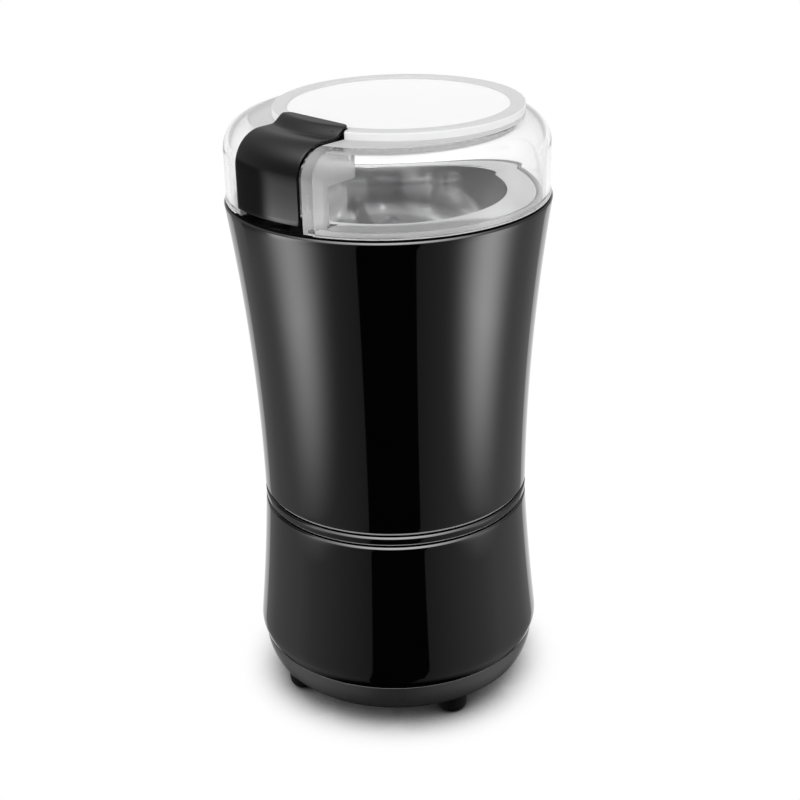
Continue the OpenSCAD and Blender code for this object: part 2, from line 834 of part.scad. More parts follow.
// Field coils: one wound ring around each pole
module field_coils() {
    y0 = bore_r + shoe_t + fit_gap;
    y1 = stator_d / 2 - yoke_y - fit_gap;
    hole_w = pole_w + 2 * fit_gap;
    hole_h = stack_h + 2 * fit_gap;
    color([0.55, 0.27, 0.12])
    motor_frame() both_sides()
        translate([0, y1, stack_z + stack_h / 2]) rotate([90, 0, 0]) linear_extrude(y1 - y0) difference() {
            rounded_rect(hole_w + 2 * coil_w, hole_h + 2 * coil_w, coil_w);
            square([hole_w, hole_h], center = true);
        }
}

// Long bolts that clamp the brackets on the stator
module motor_bolts() {
    color([0.6, 0.6, 0.62])
    motor_frame() bolt_places()
        translate([0, 0, plate_top - plate_t - screw_head_h])
            screw(bracket_top - plate_top + plate_t + screw_head_h - thread_end,
                screw_head_r, screw_head_h, bolt_r);
}

// Brush gear
module brush_box(w, h, y) {
    block([-w / 2, w / 2], y, [brush_z - h / 2, brush_z + h / 2]);
}

module brush_tubes() {
    w = brush_w + 2 * fit_gap;
    h = brush_h + 2 * fit_gap;
    color([0.72, 0.58, 0.28])
    motor_frame() both_sides() difference() {
        brush_box(w + 2 * tube_wall - 2 * fit_gap, h + 2 * tube_wall - 2 * fit_gap, [tube_in, tube_out]);
        brush_box(w, h, [tube_in - cut, tube_out + cut]);
    }
}

module carbon_brushes() {
    color([0.12, 0.12, 0.13])
    motor_frame() both_sides() brush_box(brush_w, brush_h, [brush_in, brush_out]);
}

module brush_springs() {
    color([0.7, 0.7, 0.72])
    motor_frame() both_sides()
        translate([0, brush_out + fit_gap, brush_z]) rotate([-90, 0, 0])
            coil_spring(brush_spring_r, brush_spring_l, brush_turns);
}

module brush_caps() {
    color([0.15, 0.14, 0.13])
    motor_frame() both_sides() {
        brush_box(brush_w + 2 * tube_wall, brush_h + 2 * tube_wall, [tube_out, tube_out + cap_t]);
        brush_box(brush_w, brush_h, [tube_out - cap_plug, tube_out + cap_t]);
    }
}

// Switch bracket: an angle under the bowl holder that carries the microswitch
switch_screw_in = 4.8;
switch_screw_y = switch_back - switch_screw_in;
switch_flange_edge = 2.2;
switch_flange_l = switch_screw_in - switch_plate_t + switch_flange_edge;
bracket_half = 7.5;

module switch_bracket() {
    back = switch_back - switch_plate_t;
    color([0.62, 0.63, 0.65])
    difference() {
        union() {
            block([-bracket_half, bracket_half], [-switch_back, -back], [switch_top - switch_h, holder_z]);
            block([-bracket_half, bracket_half], [-back - cut / 2, switch_flange_l - back],
                [holder_z - switch_plate_t, holder_z]);
        }
        for (x = [-1, 1])
            translate([x * switch_screw_x, -switch_screw_y, 0]) cylinder(r = small_r + fit_gap, h = far);
        for (x = [-1, 1])
            translate([x * switch_screw_x, 0, switch_top - switch_h / 2]) rotate([90, 0, 0])
                cylinder(r = small_r + fit_gap, h = far);
    }
}

module microswitch() {
    color([0.07, 0.07, 0.08])
    difference() {
        union() {
            block([-switch_l / 2, switch_l / 2], [-switch_back - switch_d, -switch_back],
                [switch_top - switch_h, switch_top]);
            for (x = [-1, 0, 1])
                block(span(x * switch_l / 3, terminal_w), span(-nub_y, terminal_t),
                    [switch_top - switch_h - terminal_l, switch_top - switch_h + cut]);
        }
        translate([0, -nub_y, switch_top - nub_in - nub_up]) cylinder(r = nub_r + run_gap, h = far);
        for (x = [-1, 1])
            translate([x * switch_screw_x, 0, switch_top - switch_h / 2]) rotate([90, 0, 0])
                cylinder(r = small_r + fit_gap, h = far);
    }
}

// Small screws: two up into the bowl holder, two through the microswitch
module switch_screws() {
    color([0.6, 0.6, 0.62])
    for (x = [-1, 1]) {
        translate([x * switch_screw_x, -switch_screw_y, holder_z - switch_plate_t - small_head_h])
            screw(small_head_h + switch_plate_t + small_grip, small_head_r, small_head_h, small_r);
        translate([x * switch_screw_x, -switch_back - switch_d - small_head_h, switch_top - switch_h / 2])
            rotate([-90, 0, 0])
                screw(small_head_h + switch_d + switch_plate_t, small_head_r, small_head_h, small_r);
    }
}

// Drive shaft, stepped where the blade and its nut sit
module drive_shaft() {
    color([0.7, 0.71, 0.73])
    union() {
        translate([0, 0, shaft_low]) cylinder(r = shaft_r, h = blade_z - shaft_low);
        translate([0, 0, shaft_low]) cylinder(r = tip_r, h = shaft_top - shaft_low);
    }
}

// Grinding blade: one strip with its tips bent up, two swept wings with a bevelled leading edge
blade_back = 4;
blade_front = 5;
blade_root = 13;
blade_taper = 1.5;
blade_sweep = 7;
blade_hub_r = 6;
bevel_w = 2.2;
bevel_land = 0.4;

// Side of the strip, in x and z
module blade_side() {
    l = blade_l - blade_root;
    bend = [cos(blade_bend), sin(blade_bend)];
    rise = [-sin(blade_bend), cos(blade_bend)];
    low = [blade_root, 0] + l * bend;
    high = low + blade_t * rise;
    inner = [blade_root - blade_t * tan(blade_bend / 2), blade_t];
    flip = [[-1, 0], [0, 1]];
    polygon([[-blade_root, 0], [blade_root, 0], low, high, inner, flip * inner, flip * high, flip * low]);
}

module blade_plan() {
    circle(blade_hub_r);
    for (a = [0, 180]) rotate(a)
        polygon([[0, -blade_back], [blade_l, -blade_back + blade_taper], [blade_l, 0],
            [blade_l - blade_sweep, blade_front], [0, blade_front]]);
}

module blade_bevel(l) {
    translate([0, blade_front, bevel_land]) rotate([-atan((blade_t - bevel_land) / bevel_w), 0, 0])
        block([0, l], [-2 * bevel_w, 2 * bevel_w], [0, blade_t]);
}

module grinding_blade() {
    color([0.78, 0.79, 0.81])
    translate([0, 0, blade_z]) difference() {
        intersection() {
            rotate([90, 0, 0]) linear_extrude(2 * blade_l, center = true) blade_side();
            linear_extrude(blade_l) blade_plan();
        }
        both_sides() {
            translate([blade_hub_r, 0, 0]) blade_bevel(blade_root - blade_hub_r);
            translate([blade_root, 0, 0]) rotate([0, -blade_bend, 0]) blade_bevel(blade_l);
        }
        translate([0, 0, -cut]) cylinder(r = tip_r + fit_gap, h = blade_t + 2 * cut);
    }
}

module blade_nut() {
    color([0.72, 0.73, 0.75])
    translate([0, 0, blade_z + blade_t]) difference() {
        union() {
            cylinder(r = nut_r, h = nut_h, $fn = 6);
            translate([0, 0, nut_h - fit_gap]) intersection() {
                sphere(r = nut_r * cos(30));
                cylinder(r = nut_r, h = nut_r);
            }
        }
        translate([0, 0, -cut]) cylinder(r = tip_r + fit_gap, h = nut_h + fit_gap + cut);
    }
}

// Armature: slotted core, end windings, commutator
slot_w = 2.4;
slot_root = 8;
tooth_gap = 1;
slot_d = armature_r - tooth_gap - slot_root;
module armature_core() {
    color([0.4, 0.41, 0.43])
    translate([0, 0, stack_z]) linear_extrude(stack_h) difference() {
        circle(armature_r);
        circle(shaft_r + fit_gap);
        for (i = [0:slots - 1]) rotate(360 * i / slots) {
            translate([armature_r - tooth_gap - slot_d, -slot_w / 2]) square([slot_d, slot_w]);
            translate([armature_r - 2 * tooth_gap, -tooth_gap / 2]) square([3 * tooth_gap, tooth_gap]);
        }
    }
}

module armature_windings() {
    color([0.6, 0.3, 0.13])
    for (z = [stack_z - winding_h, stack_top])
        rotate_extrude() translate([0, z]) difference() {
            union() {
                translate([shaft_r + fit_gap, 0])
                    square([winding_r - winding_h / 2 - shaft_r - fit_gap, winding_h]);
                translate([winding_r - winding_h / 2, winding_h / 2]) circle(winding_h / 2);
            }
            translate([-far, -cut]) square([far + shaft_r + fit_gap, winding_h + 2 * cut]);
        }
}

module commutator() {
    color([0.72, 0.42, 0.22])
    difference() {
        union() {
            ring(shaft_r + fit_gap, commutator_r, commutator_z, commutator_h);
            ring(shaft_r + fit_gap, winding_r - winding_h / 2, commutator_z + commutator_h,
                stack_z - winding_h - commutator_z - commutator_h);
        }
        for (i = [0:2 * slots - 1])
            rotate(180 * i / slots)
                block([commutator_r - tooth_gap, commutator_r + cut], span(0, commutator_slot),
                    [commutator_z - cut, commutator_z + commutator_h - cut]);
    }
}

module thrust_washers() {
    color([0.75, 0.75, 0.76])
    for (z = [upper_bearing_z - fit_gap - washer_t, lower_bearing_z + bearing_h + fit_gap])
        ring(shaft_r + fit_gap, washer_r, z, washer_t);
}

// Cooling fan under the lower bracket: hub, top plate and radial vanes
module cooling_fan() {
    color([0.2, 0.2, 0.2])
    difference() {
        union() {
            translate([0, 0, fan_z]) cylinder(r = fan_hub_r, h = fan_h);
            translate([0, 0, fan_z + fan_h - fan_plate]) cylinder(r = fan_r, h = fan_plate);
            for (i = [0:fan_blades - 1]) rotate(360 * i / fan_blades)
                block([fan_hub_r - cut, fan_r], [-fan_plate / 2, fan_plate / 2], [fan_z, fan_z + fan_h]);
        }
        translate([0, 0, fan_z - cut]) cylinder(r = shaft_r + fit_gap, h = fan_h + 2 * cut);
    }
}

// Solid within the lid's outer skin, moved out by grow: wall, shoulder and raised top
module lid_form(grow, low) {
    shoulder_z = lid_z - plinth_h - shoulder_r;
    shoulder_x = lid_r - shoulder_r;
    rotate_extrude() {
        translate([0, low]) square([lid_r + grow, shoulder_z - low]);
        translate([0, low]) square([shoulder_x, shoulder_z + shoulder_r + grow - low]);
        translate([shoulder_x, shoulder_z]) intersection() {
            circle(shoulder_r + grow);
            square(shoulder_r + grow);
        }
    }
    translate([0, plinth_off, shoulder_z])
        cylinder(r = plinth_r + grow, h = lid_z + grow - shoulder_z);
}

// Hollow of the lid
module lid_hollow() {
    shoulder_z = lid_z - plinth_h - shoulder_r;
    shoulder_x = lid_r - shoulder_r;
    inner = shoulder_r - lid_wall;
    rotate_extrude() {
        translate([0, deck_z - cut]) square([lid_r - lid_wall, shoulder_z - deck_z + cut]);
        translate([0, deck_z]) square([shoulder_x, shoulder_z + inner - deck_z]);
        translate([shoulder_x, shoulder_z]) intersection() {
            circle(inner);
            square(inner);
        }
    }
    translate([0, plinth_off, shoulder_z])
        cylinder(r = plinth_r - lip_w - fit_gap, h = lid_z - dish_d - lid_wall - shoulder_z);
}

// Column over a strip that comes in from the front and ends in two rounded corners
module strip(half, end, round, z) {
    translate([0, -end - far / 2, z]) linear_extrude(far) rounded_rect(2 * half, far, round);
}

// Stepped pocket for the button, grown by w to give its walls
module pocket(w) {
    strip(pocket_half + w, pocket_back - w, pocket_back_round + w,
        deck_z + flange_t + move_gap - (w > 0 ? 0 : 2 * cut));
    strip(pocket_half + w, pocket_end - w, pocket_round + w, shelf_z - w);
}

spring_pin_r = 1.3;
spring_pin_h = 1.2;

module lid_shell() {
    color([0.85, 0.9, 0.92, 0.35])
    difference() {
        union() {
            difference() {
                lid_form(0, deck_z);
                lid_hollow();
            }
            difference() {
                intersection() {
                    lid_form(0, deck_z);
                    pocket(pocket_wall);
                }
                pocket(0);
            }
            for (x = [-1, 1])
                block(span(x * (pocket_half + pocket_wall / 2), pocket_wall),
                    [-lug_y - lug_w, -lug_y], [deck_z - lug_h, deck_z + flange_t + move_gap + cut]);
            translate([0, -button_spring_y, shelf_z - fit_gap])
                cylinder(r = spring_pin_r, h = spring_pin_h + fit_gap);
        }
        difference() {
            pocket(0);
            translate([0, -button_spring_y, shelf_z - fit_gap])
                cylinder(r = spring_pin_r, h = spring_pin_h + fit_gap);
        }
        translate([0, plinth_off, lid_z - dish_d]) cylinder(r = plinth_r - lip_w, h = far);
        along_x(hinge_r + fit_gap / 2, [-pin_half - fit_gap, pin_half + fit_gap], -hinge_y, hinge_z);
    }
}

// Hinge pin across the pocket
pin_grip = 1;
pin_half = pocket_half + pin_grip;
module hinge_pin() {
    color([0.7, 0.71, 0.73])
    along_x(hinge_r, [-pin_half, pin_half], -hinge_y, hinge_z);
}

// Press button: a strip that follows the lid's skin, with hinge ears and a leg to the plunger
flange_reach = 7.3;
flange_in = lid_r - flange_reach;
flange_w = 1.6;
flange_depth = 6;

module press_button() {
    low = deck_z + button_low;
    under = lid_z + button_proud - button_t;
    color([0.02, 0.02, 0.022])
    difference() {
        union() {
            intersection() {
                difference() {
                    lid_form(button_proud, deck_z);
                    lid_form(button_proud - button_t, deck_z - cut);
                }
                strip(button_w / 2, button_end, pocket_round - button_gap, low);
            }
            intersection() {
                difference() {
                    lid_form(button_proud - fit_gap, deck_z);
                    lid_form(button_proud - flange_depth, deck_z - cut);
                }
                union() for (x = [-1, 1])
                    block(span(x * (button_w - flange_w) / 2, flange_w), [-far, -flange_in], [low, hinge_z]);
            }
            for (x = [-1, 1]) {
                along_x(ear_r, span(x * ear_x, ear_t), -hinge_y, hinge_z);
                block(span(x * ear_x, ear_t), [-hinge_y - ear_r, -hinge_y + ear_r - fit_gap],
                    [hinge_z, under + button_t / 2]);
            }
            translate([0, -leg_y, leg_z + leg_r]) {
                sphere(r = leg_r);
                cylinder(r = leg_r, h = hinge_z - leg_z - 3 * leg_r);
            }
            block([-leg_r, leg_r], [-lid_r - button_proud + button_t / 2, -leg_y],
                [low + 2 * leg_r, hinge_z - 2 * leg_r]);
            translate([0, -button_spring_y, under - plinth_h - spring_pin_h])
                cylinder(r = spring_pin_r, h = spring_pin_h + button_t / 2);
        }
        along_x(hinge_r + run_gap, [-far, far], -hinge_y, hinge_z);
    }
}

module button_spring() {
    color([0.7, 0.7, 0.72])
    translate([0, -button_spring_y, shelf_z + fit_gap])
        coil_spring(button_spring_r, button_spring_l, button_turns);
}

// Plunger: guided head, long rod and a foot that reaches in over the microswitch
module switch_plunger() {
    color([0.8, 0.8, 0.78])
    union() {
        translate([0, -plunger_y, head_z - plunger_head_h]) cylinder(r = plunger_head_r, h = plunger_head_h);
        translate([0, -plunger_y, foot_z]) cylinder(r = rod_r, h = head_z - foot_z - cut);
        block([-rod_r, rod_r], [-plunger_y, -nub_y + nub_r], [foot_z, foot_z + foot_bar_t]);
    }
}

// Actuating nub of the microswitch, which rides under the plunger's foot
module switch_nub() {
    color([0.75, 0.2, 0.15])
    translate([0, -nub_y, switch_top - nub_in]) cylinder(r = nub_r, h = nub_in + nub_up);
}

module plunger_spring() {
    color([0.7, 0.7, 0.72])
    translate([0, -plunger_y, guide_z + guide_floor + fit_gap])
        coil_spring(plunger_spring_r, plunger_spring_l, plunger_turns);
}

upper_housing();
trim_ring();
lower_housing();
base_plate();
rubber_feet();
base_screws();
cord_gland();
bowl_holder();
grinding_bowl();
shaft_seal();
motor_dampers();
motor_screws();
upper_bracket();
lower_bracket();
upper_bearing();
lower_bearing();
stator_core();
field_coils();
motor_bolts();
brush_tubes();
carbon_brushes();
brush_springs();
brush_caps();
switch_bracket();
microswitch();
switch_screws();
drive_shaft();
grinding_blade();
blade_nut();
armature_core();
armature_windings();
commutator();
thrust_washers();
cooling_fan();
lid_shell();
hinge_pin();
press_button();
button_spring();
switch_plunger();
switch_nub();
plunger_spring();
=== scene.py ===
# %% [markdown]
# # An electric blade grinder, dressed for its picture
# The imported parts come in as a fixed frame: every piece already lies where it belongs, in metres, with
# the table at height zero and the button towards -Y. This lesson gives each piece its final surface and
# finish, and never moves what the frame holds.

# %% Load the frame
import math

import bmesh
import bpy
from mathutils import Matrix, Vector


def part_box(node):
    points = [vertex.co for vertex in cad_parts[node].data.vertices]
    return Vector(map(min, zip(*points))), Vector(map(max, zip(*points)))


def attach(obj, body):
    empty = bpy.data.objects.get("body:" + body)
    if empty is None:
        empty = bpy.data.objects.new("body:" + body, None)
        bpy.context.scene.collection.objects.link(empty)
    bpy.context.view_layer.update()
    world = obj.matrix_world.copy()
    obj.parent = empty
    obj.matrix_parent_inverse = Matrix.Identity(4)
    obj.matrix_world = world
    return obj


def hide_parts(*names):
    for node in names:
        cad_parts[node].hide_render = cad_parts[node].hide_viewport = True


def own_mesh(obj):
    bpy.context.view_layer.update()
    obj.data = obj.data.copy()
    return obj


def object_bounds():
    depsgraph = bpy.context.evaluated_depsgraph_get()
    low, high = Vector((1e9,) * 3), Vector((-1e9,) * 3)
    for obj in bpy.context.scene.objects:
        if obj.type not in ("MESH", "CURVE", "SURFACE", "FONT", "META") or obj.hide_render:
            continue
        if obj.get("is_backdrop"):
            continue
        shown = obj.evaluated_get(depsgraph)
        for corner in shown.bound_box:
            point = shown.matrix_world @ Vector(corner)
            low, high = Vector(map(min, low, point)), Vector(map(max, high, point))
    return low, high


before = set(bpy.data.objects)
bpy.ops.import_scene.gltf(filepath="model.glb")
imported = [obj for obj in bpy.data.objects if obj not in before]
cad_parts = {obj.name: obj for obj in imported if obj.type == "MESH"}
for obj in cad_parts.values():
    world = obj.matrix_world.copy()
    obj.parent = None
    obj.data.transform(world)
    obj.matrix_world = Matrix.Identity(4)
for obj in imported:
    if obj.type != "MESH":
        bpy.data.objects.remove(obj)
cad_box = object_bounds()
scene = bpy.context.scene
scene.view_settings.view_transform = "Standard"
MM = 0.001

# %% [markdown]
# ## The sizes that everything follows
# The frame knows how large each part is, so the levels and radii are read from its boxes instead of being
# typed in again. All sizes in this lesson are millimetres, and only the last step of a piece turns them
# into metres.

# %% Levels and radii, in millimetres
def size_of(node):
    """Lowest and highest corner of a part, in millimetres."""
    low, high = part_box(node)
    return low / MM, high / MM


RIM_FLAT = 0.5
COLLAR_H = 1.0
trim_low, trim_high = size_of("trim_ring")
lower_low, lower_high = size_of("lower_housing")
upper_low, upper_high = size_of("upper_housing")
lid_low, lid_high = size_of("lid_shell")
holder_high = size_of("bowl_holder")[1]
base_z = size_of("base_plate")[0].z
waist_r, trim_z, upper_z = trim_high.x, trim_low.z, trim_high.z
lower_r, seam_z = lower_high.x, lower_low.z
deck_r, deck_z = holder_high.x, holder_high.z - COLLAR_H
rim_r, rim_z = deck_r + RIM_FLAT, upper_high.z
lid_r, lid_z = lid_high.x, lid_high.z
WALL = 2.0
TOUCH = 0.02
OVERSHOOT = 5.0
print(f"waist r {waist_r:.2f} at {trim_z:.1f} to {upper_z:.1f}, rim r {rim_r:.2f} at {rim_z:.1f}")
print(f"deck at {deck_z:.1f}, lid r {lid_r:.2f} up to {lid_z:.1f}")
print(f"lower housing r {lower_r:.2f}, seam at {seam_z:.1f}")

# %% [markdown]
# ## The camera
# The rims and grooves of the real object are circles, and a circle in a picture is an ellipse whose shape
# tells where the camera stood. These few numbers put the camera there: how far and how high it is, which
# way it looks and how it leans.

# %% The camera
VIEW_AZIMUTH = math.radians(45.2)
CAMERA_REACH = 412.2
CAMERA_HEIGHT = 278.1
CAMERA_YAW = -0.0047
CAMERA_PITCH = 0.4265
CAMERA_ROLL = -0.0226
CAMERA_LENS = 67.06


def as_object(name, data):
    """A new object in the scene."""
    obj = bpy.data.objects.new(name, data)
    scene.collection.objects.link(obj)
    return obj


camera = as_object("camera", bpy.data.cameras.new("camera"))
camera.data.lens = CAMERA_LENS
camera.data.clip_start = 0.01
place = Vector((math.sin(VIEW_AZIMUTH), -math.cos(VIEW_AZIMUTH), 0)) * CAMERA_REACH
place.z = CAMERA_HEIGHT
look = (
    Matrix.Rotation(VIEW_AZIMUTH + CAMERA_YAW, 4, "Z")
    @ Matrix.Rotation(math.pi / 2 - CAMERA_PITCH, 4, "X")
    @ Matrix.Rotation(CAMERA_ROLL, 4, "Z")
)
camera.matrix_world = Matrix.Translation(place * MM) @ look
scene.camera = camera
print("camera at", [round(x, 1) for x in place], "mm, lens", CAMERA_LENS)

# %% [markdown]
# ## Helpers for node trees
# Shaders and node trees are graphs, and wiring them takes many lines. A few short helpers keep the cells
# below readable: one makes a node and fills its sockets, and the others make what comes back often, such
# as a product, a grey ramp or a pair of shaders.

# %% Helpers for nodes
def put(tree, socket, value):
    """Sets a socket to a number, a colour or a material, or links it to an output. A node stands for its
    first output."""
    if isinstance(value, bpy.types.Node):
        value = value.outputs[0]
    if isinstance(value, bpy.types.NodeSocket):
        tree.links.new(value, socket)
    else:
        socket.default_value = value


def fill(tree, node, **sockets):
    """Puts values into a node's sockets by their names."""
    for name, value in sockets.items():
        put(tree, node.inputs[name.replace("_", " ")], value)
    return node


def add(tree, kind, settings=None, **sockets):
    """A new node: settings are its own properties, sockets are what goes into it."""
    node = tree.nodes.new(kind)
    for name, value in (settings or {}).items():
        setattr(node, name, value)
    return fill(tree, node, **sockets)


def calc(tree, operation, *inputs):
    """A Math node on numbers or nodes."""
    node = add(tree, "ShaderNodeMath", {"operation": operation})
    for socket, value in zip(node.inputs, inputs):
        put(tree, socket, value)
    return node


def times(tree, product, *others):
    """The product of numbers or nodes."""
    for other in others:
        product = calc(tree, "MULTIPLY", product, other)
    return product


def mix(tree, factor, first, second):
    """The first value where the factor is 0, the second where it is 1."""
    return add(tree, "ShaderNodeMix", Factor=factor, A=first, B=second)


print("helpers:", [helper.__name__ for helper in (put, fill, add, calc, times, mix)])

# %% Helpers for ramps, soft steps, pairs of shaders and empty materials
def ramp(tree, factor, stops):
    """A grey ramp through (position, value) stops."""
    node = add(tree, "ShaderNodeValToRGB", Fac=factor)
    points = node.color_ramp.elements
    while len(points) < len(stops):
        points.new(1)
    for point, (position, value) in zip(points, stops):
        point.position = position
        point.color = (value, value, value, 1)
    return node


def between(tree, value, low, high):
    """0 below low, 1 above high, with a soft change between."""
    soft = {"interpolation_type": "SMOOTHSTEP"}
    return add(tree, "ShaderNodeMapRange", soft, Value=value, From_Min=low, From_Max=high)


def bell(tree, value, middle, spread):
    """A bell over a value, 1 at its middle."""
    reach = calc(tree, "DIVIDE", calc(tree, "SUBTRACT", value, middle), spread)
    return calc(tree, "EXPONENT", times(tree, reach, reach, -0.5))


def two_shaders(tree, kind, first, second, **sockets):
    """A node that mixes or adds two shaders. Their sockets share a name, so they are linked by place."""
    node = add(tree, kind, **sockets)
    for socket, shader in zip(list(node.inputs)[-2:], (first, second)):
        put(tree, socket, shader)
    return node


def bare_material(name):
    """A material and its tree, still empty."""
    material = bpy.data.materials.new(name)
    material.use_nodes = True
    material.node_tree.nodes.clear()
    return material, material.node_tree


print("helpers:", [helper.__name__ for helper in (ramp, between, bell, two_shaders, bare_material)])

# %% [markdown]
# ## The studio
# Gloss black shows only what it mirrors. On the real object that is a studio drawn with card and
# softboxes: a black strip straight ahead, grey that grows lighter to the sides, and a wide softbox
# overhead that draws the bright lines on the edges. The world holds this studio for mirrored rays alone.
# The camera sees plain white, and so do rays through the clear lid, except those that come off the steel:
# they meet a light and dark pattern of their own.

# %% The studio in the world
DEGREE = math.pi / 180
STRIP_HALF = 22.4
STRIP_LEAN = 0.3
STRIP_MIDDLE = -0.9
STRIP_UPRIGHT = 28
STRIP_SOFT = 0.4
CARD_GREYS = ((0, 0.22), (23, 0.23), (57, 0.45), (90, 0.62), (124, 0.42), (145, 0.42), (148, 1.0))
CARD_LEFT, CARD_RIGHT = 0.864, 0.992
CARD_SPAN = (-60, 60)
SHADOW_SPAN = (-70, -40)
BACK_SPAN = (125, 150)
BACK_DROP = (-36, -46)
HORIZON_SPAN = (-6, 8)
KEY_ELEVATION = 66
KEY_SPREAD = 15
KEY_WIDTH = 70.0
KEY_STRENGTH = 11.2
HIGH_GREY = 0.48
BOWL_GREYS = ((0.12, 0.65), (0.2, 1.2), (0.3, 0.5), (0.52, 0.3), (0.55, 4.0), (0.585, 0.4), (0.65, 0.5),
              (0.7, 1.2), (0.88, 0.65))
FILL_STRENGTH = 0.96

world = bpy.data.worlds.new("studio")
world.use_nodes = True
scene.world = world
sky = world.node_tree
sky.nodes.clear()
ray = add(sky, "ShaderNodeLightPath").outputs
toward = add(sky, "ShaderNodeTexCoord").outputs["Generated"]
turned_sky = add(sky, "ShaderNodeVectorRotate", {"rotation_type": "Z_AXIS"}, Vector=toward,
                 Angle=-VIEW_AZIMUTH)
axes = add(sky, "ShaderNodeSeparateXYZ", Vector=turned_sky).outputs
azimuth = calc(sky, "DIVIDE", calc(sky, "ARCTAN2", axes["X"], times(sky, axes["Y"], -1.0)), DEGREE)
elevation = calc(sky, "DIVIDE", calc(sky, "ARCSINE", axes["Z"]), DEGREE)
aside = calc(sky, "ABSOLUTE", azimuth)
print("nodes for the direction of a ray:", len(sky.nodes))

# %% What mirrored rays see below the horizon
lean = calc(sky, "MULTIPLY_ADD", elevation, STRIP_LEAN, STRIP_LEAN * STRIP_UPRIGHT + STRIP_MIDDLE)
off_strip = calc(sky, "ABSOLUTE", calc(sky, "SUBTRACT", azimuth, lean))
clear_of_strip = between(sky, off_strip, STRIP_HALF - STRIP_SOFT, STRIP_HALF + STRIP_SOFT)
card_stops = [(degrees / 180, grey) for degrees, grey in CARD_GREYS]
card = ramp(sky, calc(sky, "DIVIDE", aside, 180.0), card_stops)
to_right = between(sky, azimuth, *CARD_SPAN)
left_to_right = calc(sky, "MULTIPLY_ADD", to_right, CARD_RIGHT - CARD_LEFT, CARD_LEFT)
above_shadow = between(sky, elevation, *SHADOW_SPAN)
low_back = times(sky, between(sky, aside, *BACK_SPAN), between(sky, elevation, *BACK_DROP))
not_low_back = calc(sky, "SUBTRACT", 1.0, low_back)
low_half = times(sky, card, left_to_right, clear_of_strip, above_shadow, not_low_back)
print("black strip", 2 * STRIP_HALF, "degrees wide, card grey by angle", CARD_GREYS)

# %% What they see above it, and what the steel sees through the lid
key = times(sky, bell(sky, elevation, KEY_ELEVATION, KEY_SPREAD), bell(sky, aside, 0.0, KEY_WIDTH))
high_half = calc(sky, "MULTIPLY_ADD", key, KEY_STRENGTH, HIGH_GREY)
mirrored = mix(sky, between(sky, elevation, *HORIZON_SPAN), low_half, high_half)
in_bowl = ramp(sky, calc(sky, "MULTIPLY_ADD", azimuth, 1 / 360, 0.5), BOWL_GREYS)
from_steel = calc(sky, "GREATER_THAN", ray["Glossy Depth"], 0.5)
seen = calc(sky, "MAXIMUM", ray["Is Camera Ray"], ray["Is Transmission Ray"])
lit = mix(sky, ray["Is Glossy Ray"], FILL_STRENGTH, mirrored)
strength = mix(sky, seen, lit, mix(sky, from_steel, 1.0, in_bowl))
background = add(sky, "ShaderNodeBackground", Color=(1, 1, 1, 1), Strength=strength)
add(sky, "ShaderNodeOutputWorld", Surface=background)
print("world nodes:", len(sky.nodes))

# %% [markdown]
# Two soft lights, low at left and right, stand close to the object. Only near lights can do what they do:
# they fill the upper housing from the rim down and fade out above the waist. They are cards that mirrored
# rays alone can see, brightest in the middle and thinning to nothing at the edges. The left card goes on
# above that, for what the button mirrors: dark towards the back, and from an upright edge on bright, fading
# upwards.

# %% Two near side lights
LIGHT_AZIMUTH = 74
LIGHT_SPOT = (122.0, -62.0)
LIGHT_HALF = 130.0
LIGHT_TOP = 180.0
LIGHT_SPREAD = 26.0
LIGHT_RISE = ((7, 0), (22, 0.2), (47, 0.62), (72, 1), (120, 1), (150, 0))
UPPER_ZONE = (100.0, 130.0)
UPPER_EDGE = -31.0
UPPER_SOFT = 13.0
UPPER_SLOPE = 25.0
UPPER_DARK = 0.65
UPPER_END = 165.0
UPPER_FADE = ((122, 1), (128, 0.66), (134, 0.38), (140, 0.23), (150, 0.15), (162, 0.1), (172, 0.045),
              (180, 0))


def paint(mesh, *materials):
    """Gives a mesh these materials and no others. All its faces go back to the first."""
    mesh.materials.clear()
    for material in materials:
        mesh.materials.append(material)


def new_mesh(name, points, faces, *materials):
    """A mesh from points in metres and faces."""
    mesh = bpy.data.meshes.new(name)
    mesh.from_pydata(points, [], faces)
    paint(mesh, *materials)
    return mesh


def by_height(tree, height, stops):
    """A ramp over the card's height, with its stops in millimetres."""
    return ramp(tree, height, [(z / LIGHT_TOP, value) for z, value in stops])


def button_part(tree, spot, low_light, strength):
    """The light of a card whose upper part is there for the button, and how clear the card stays: that part
    is black behind an edge and bright before it."""
    edge = 0.5 + UPPER_EDGE / (2 * LIGHT_HALF)
    soft = UPPER_SOFT / (2 * LIGHT_HALF)
    behind = calc(tree, "MAXIMUM", calc(tree, "SUBTRACT", edge, spot["X"]), 0.0)
    sloped = calc(tree, "MULTIPLY_ADD", behind, UPPER_SLOPE / edge / LIGHT_TOP, spot["Y"])
    upper = between(tree, sloped, *(z / LIGHT_TOP for z in UPPER_ZONE))
    before = between(tree, spot["X"], edge - soft, edge + soft)
    high_light = times(tree, before, by_height(tree, spot["Y"], UPPER_FADE), strength)
    light = mix(tree, upper, low_light, high_light)
    below_end = between(tree, spot["Y"], 1.0, UPPER_END / LIGHT_TOP)
    dark = times(tree, upper, below_end, UPPER_DARK, calc(tree, "SUBTRACT", 1.0, before))
    return light, calc(tree, "SUBTRACT", 1.0, dark)


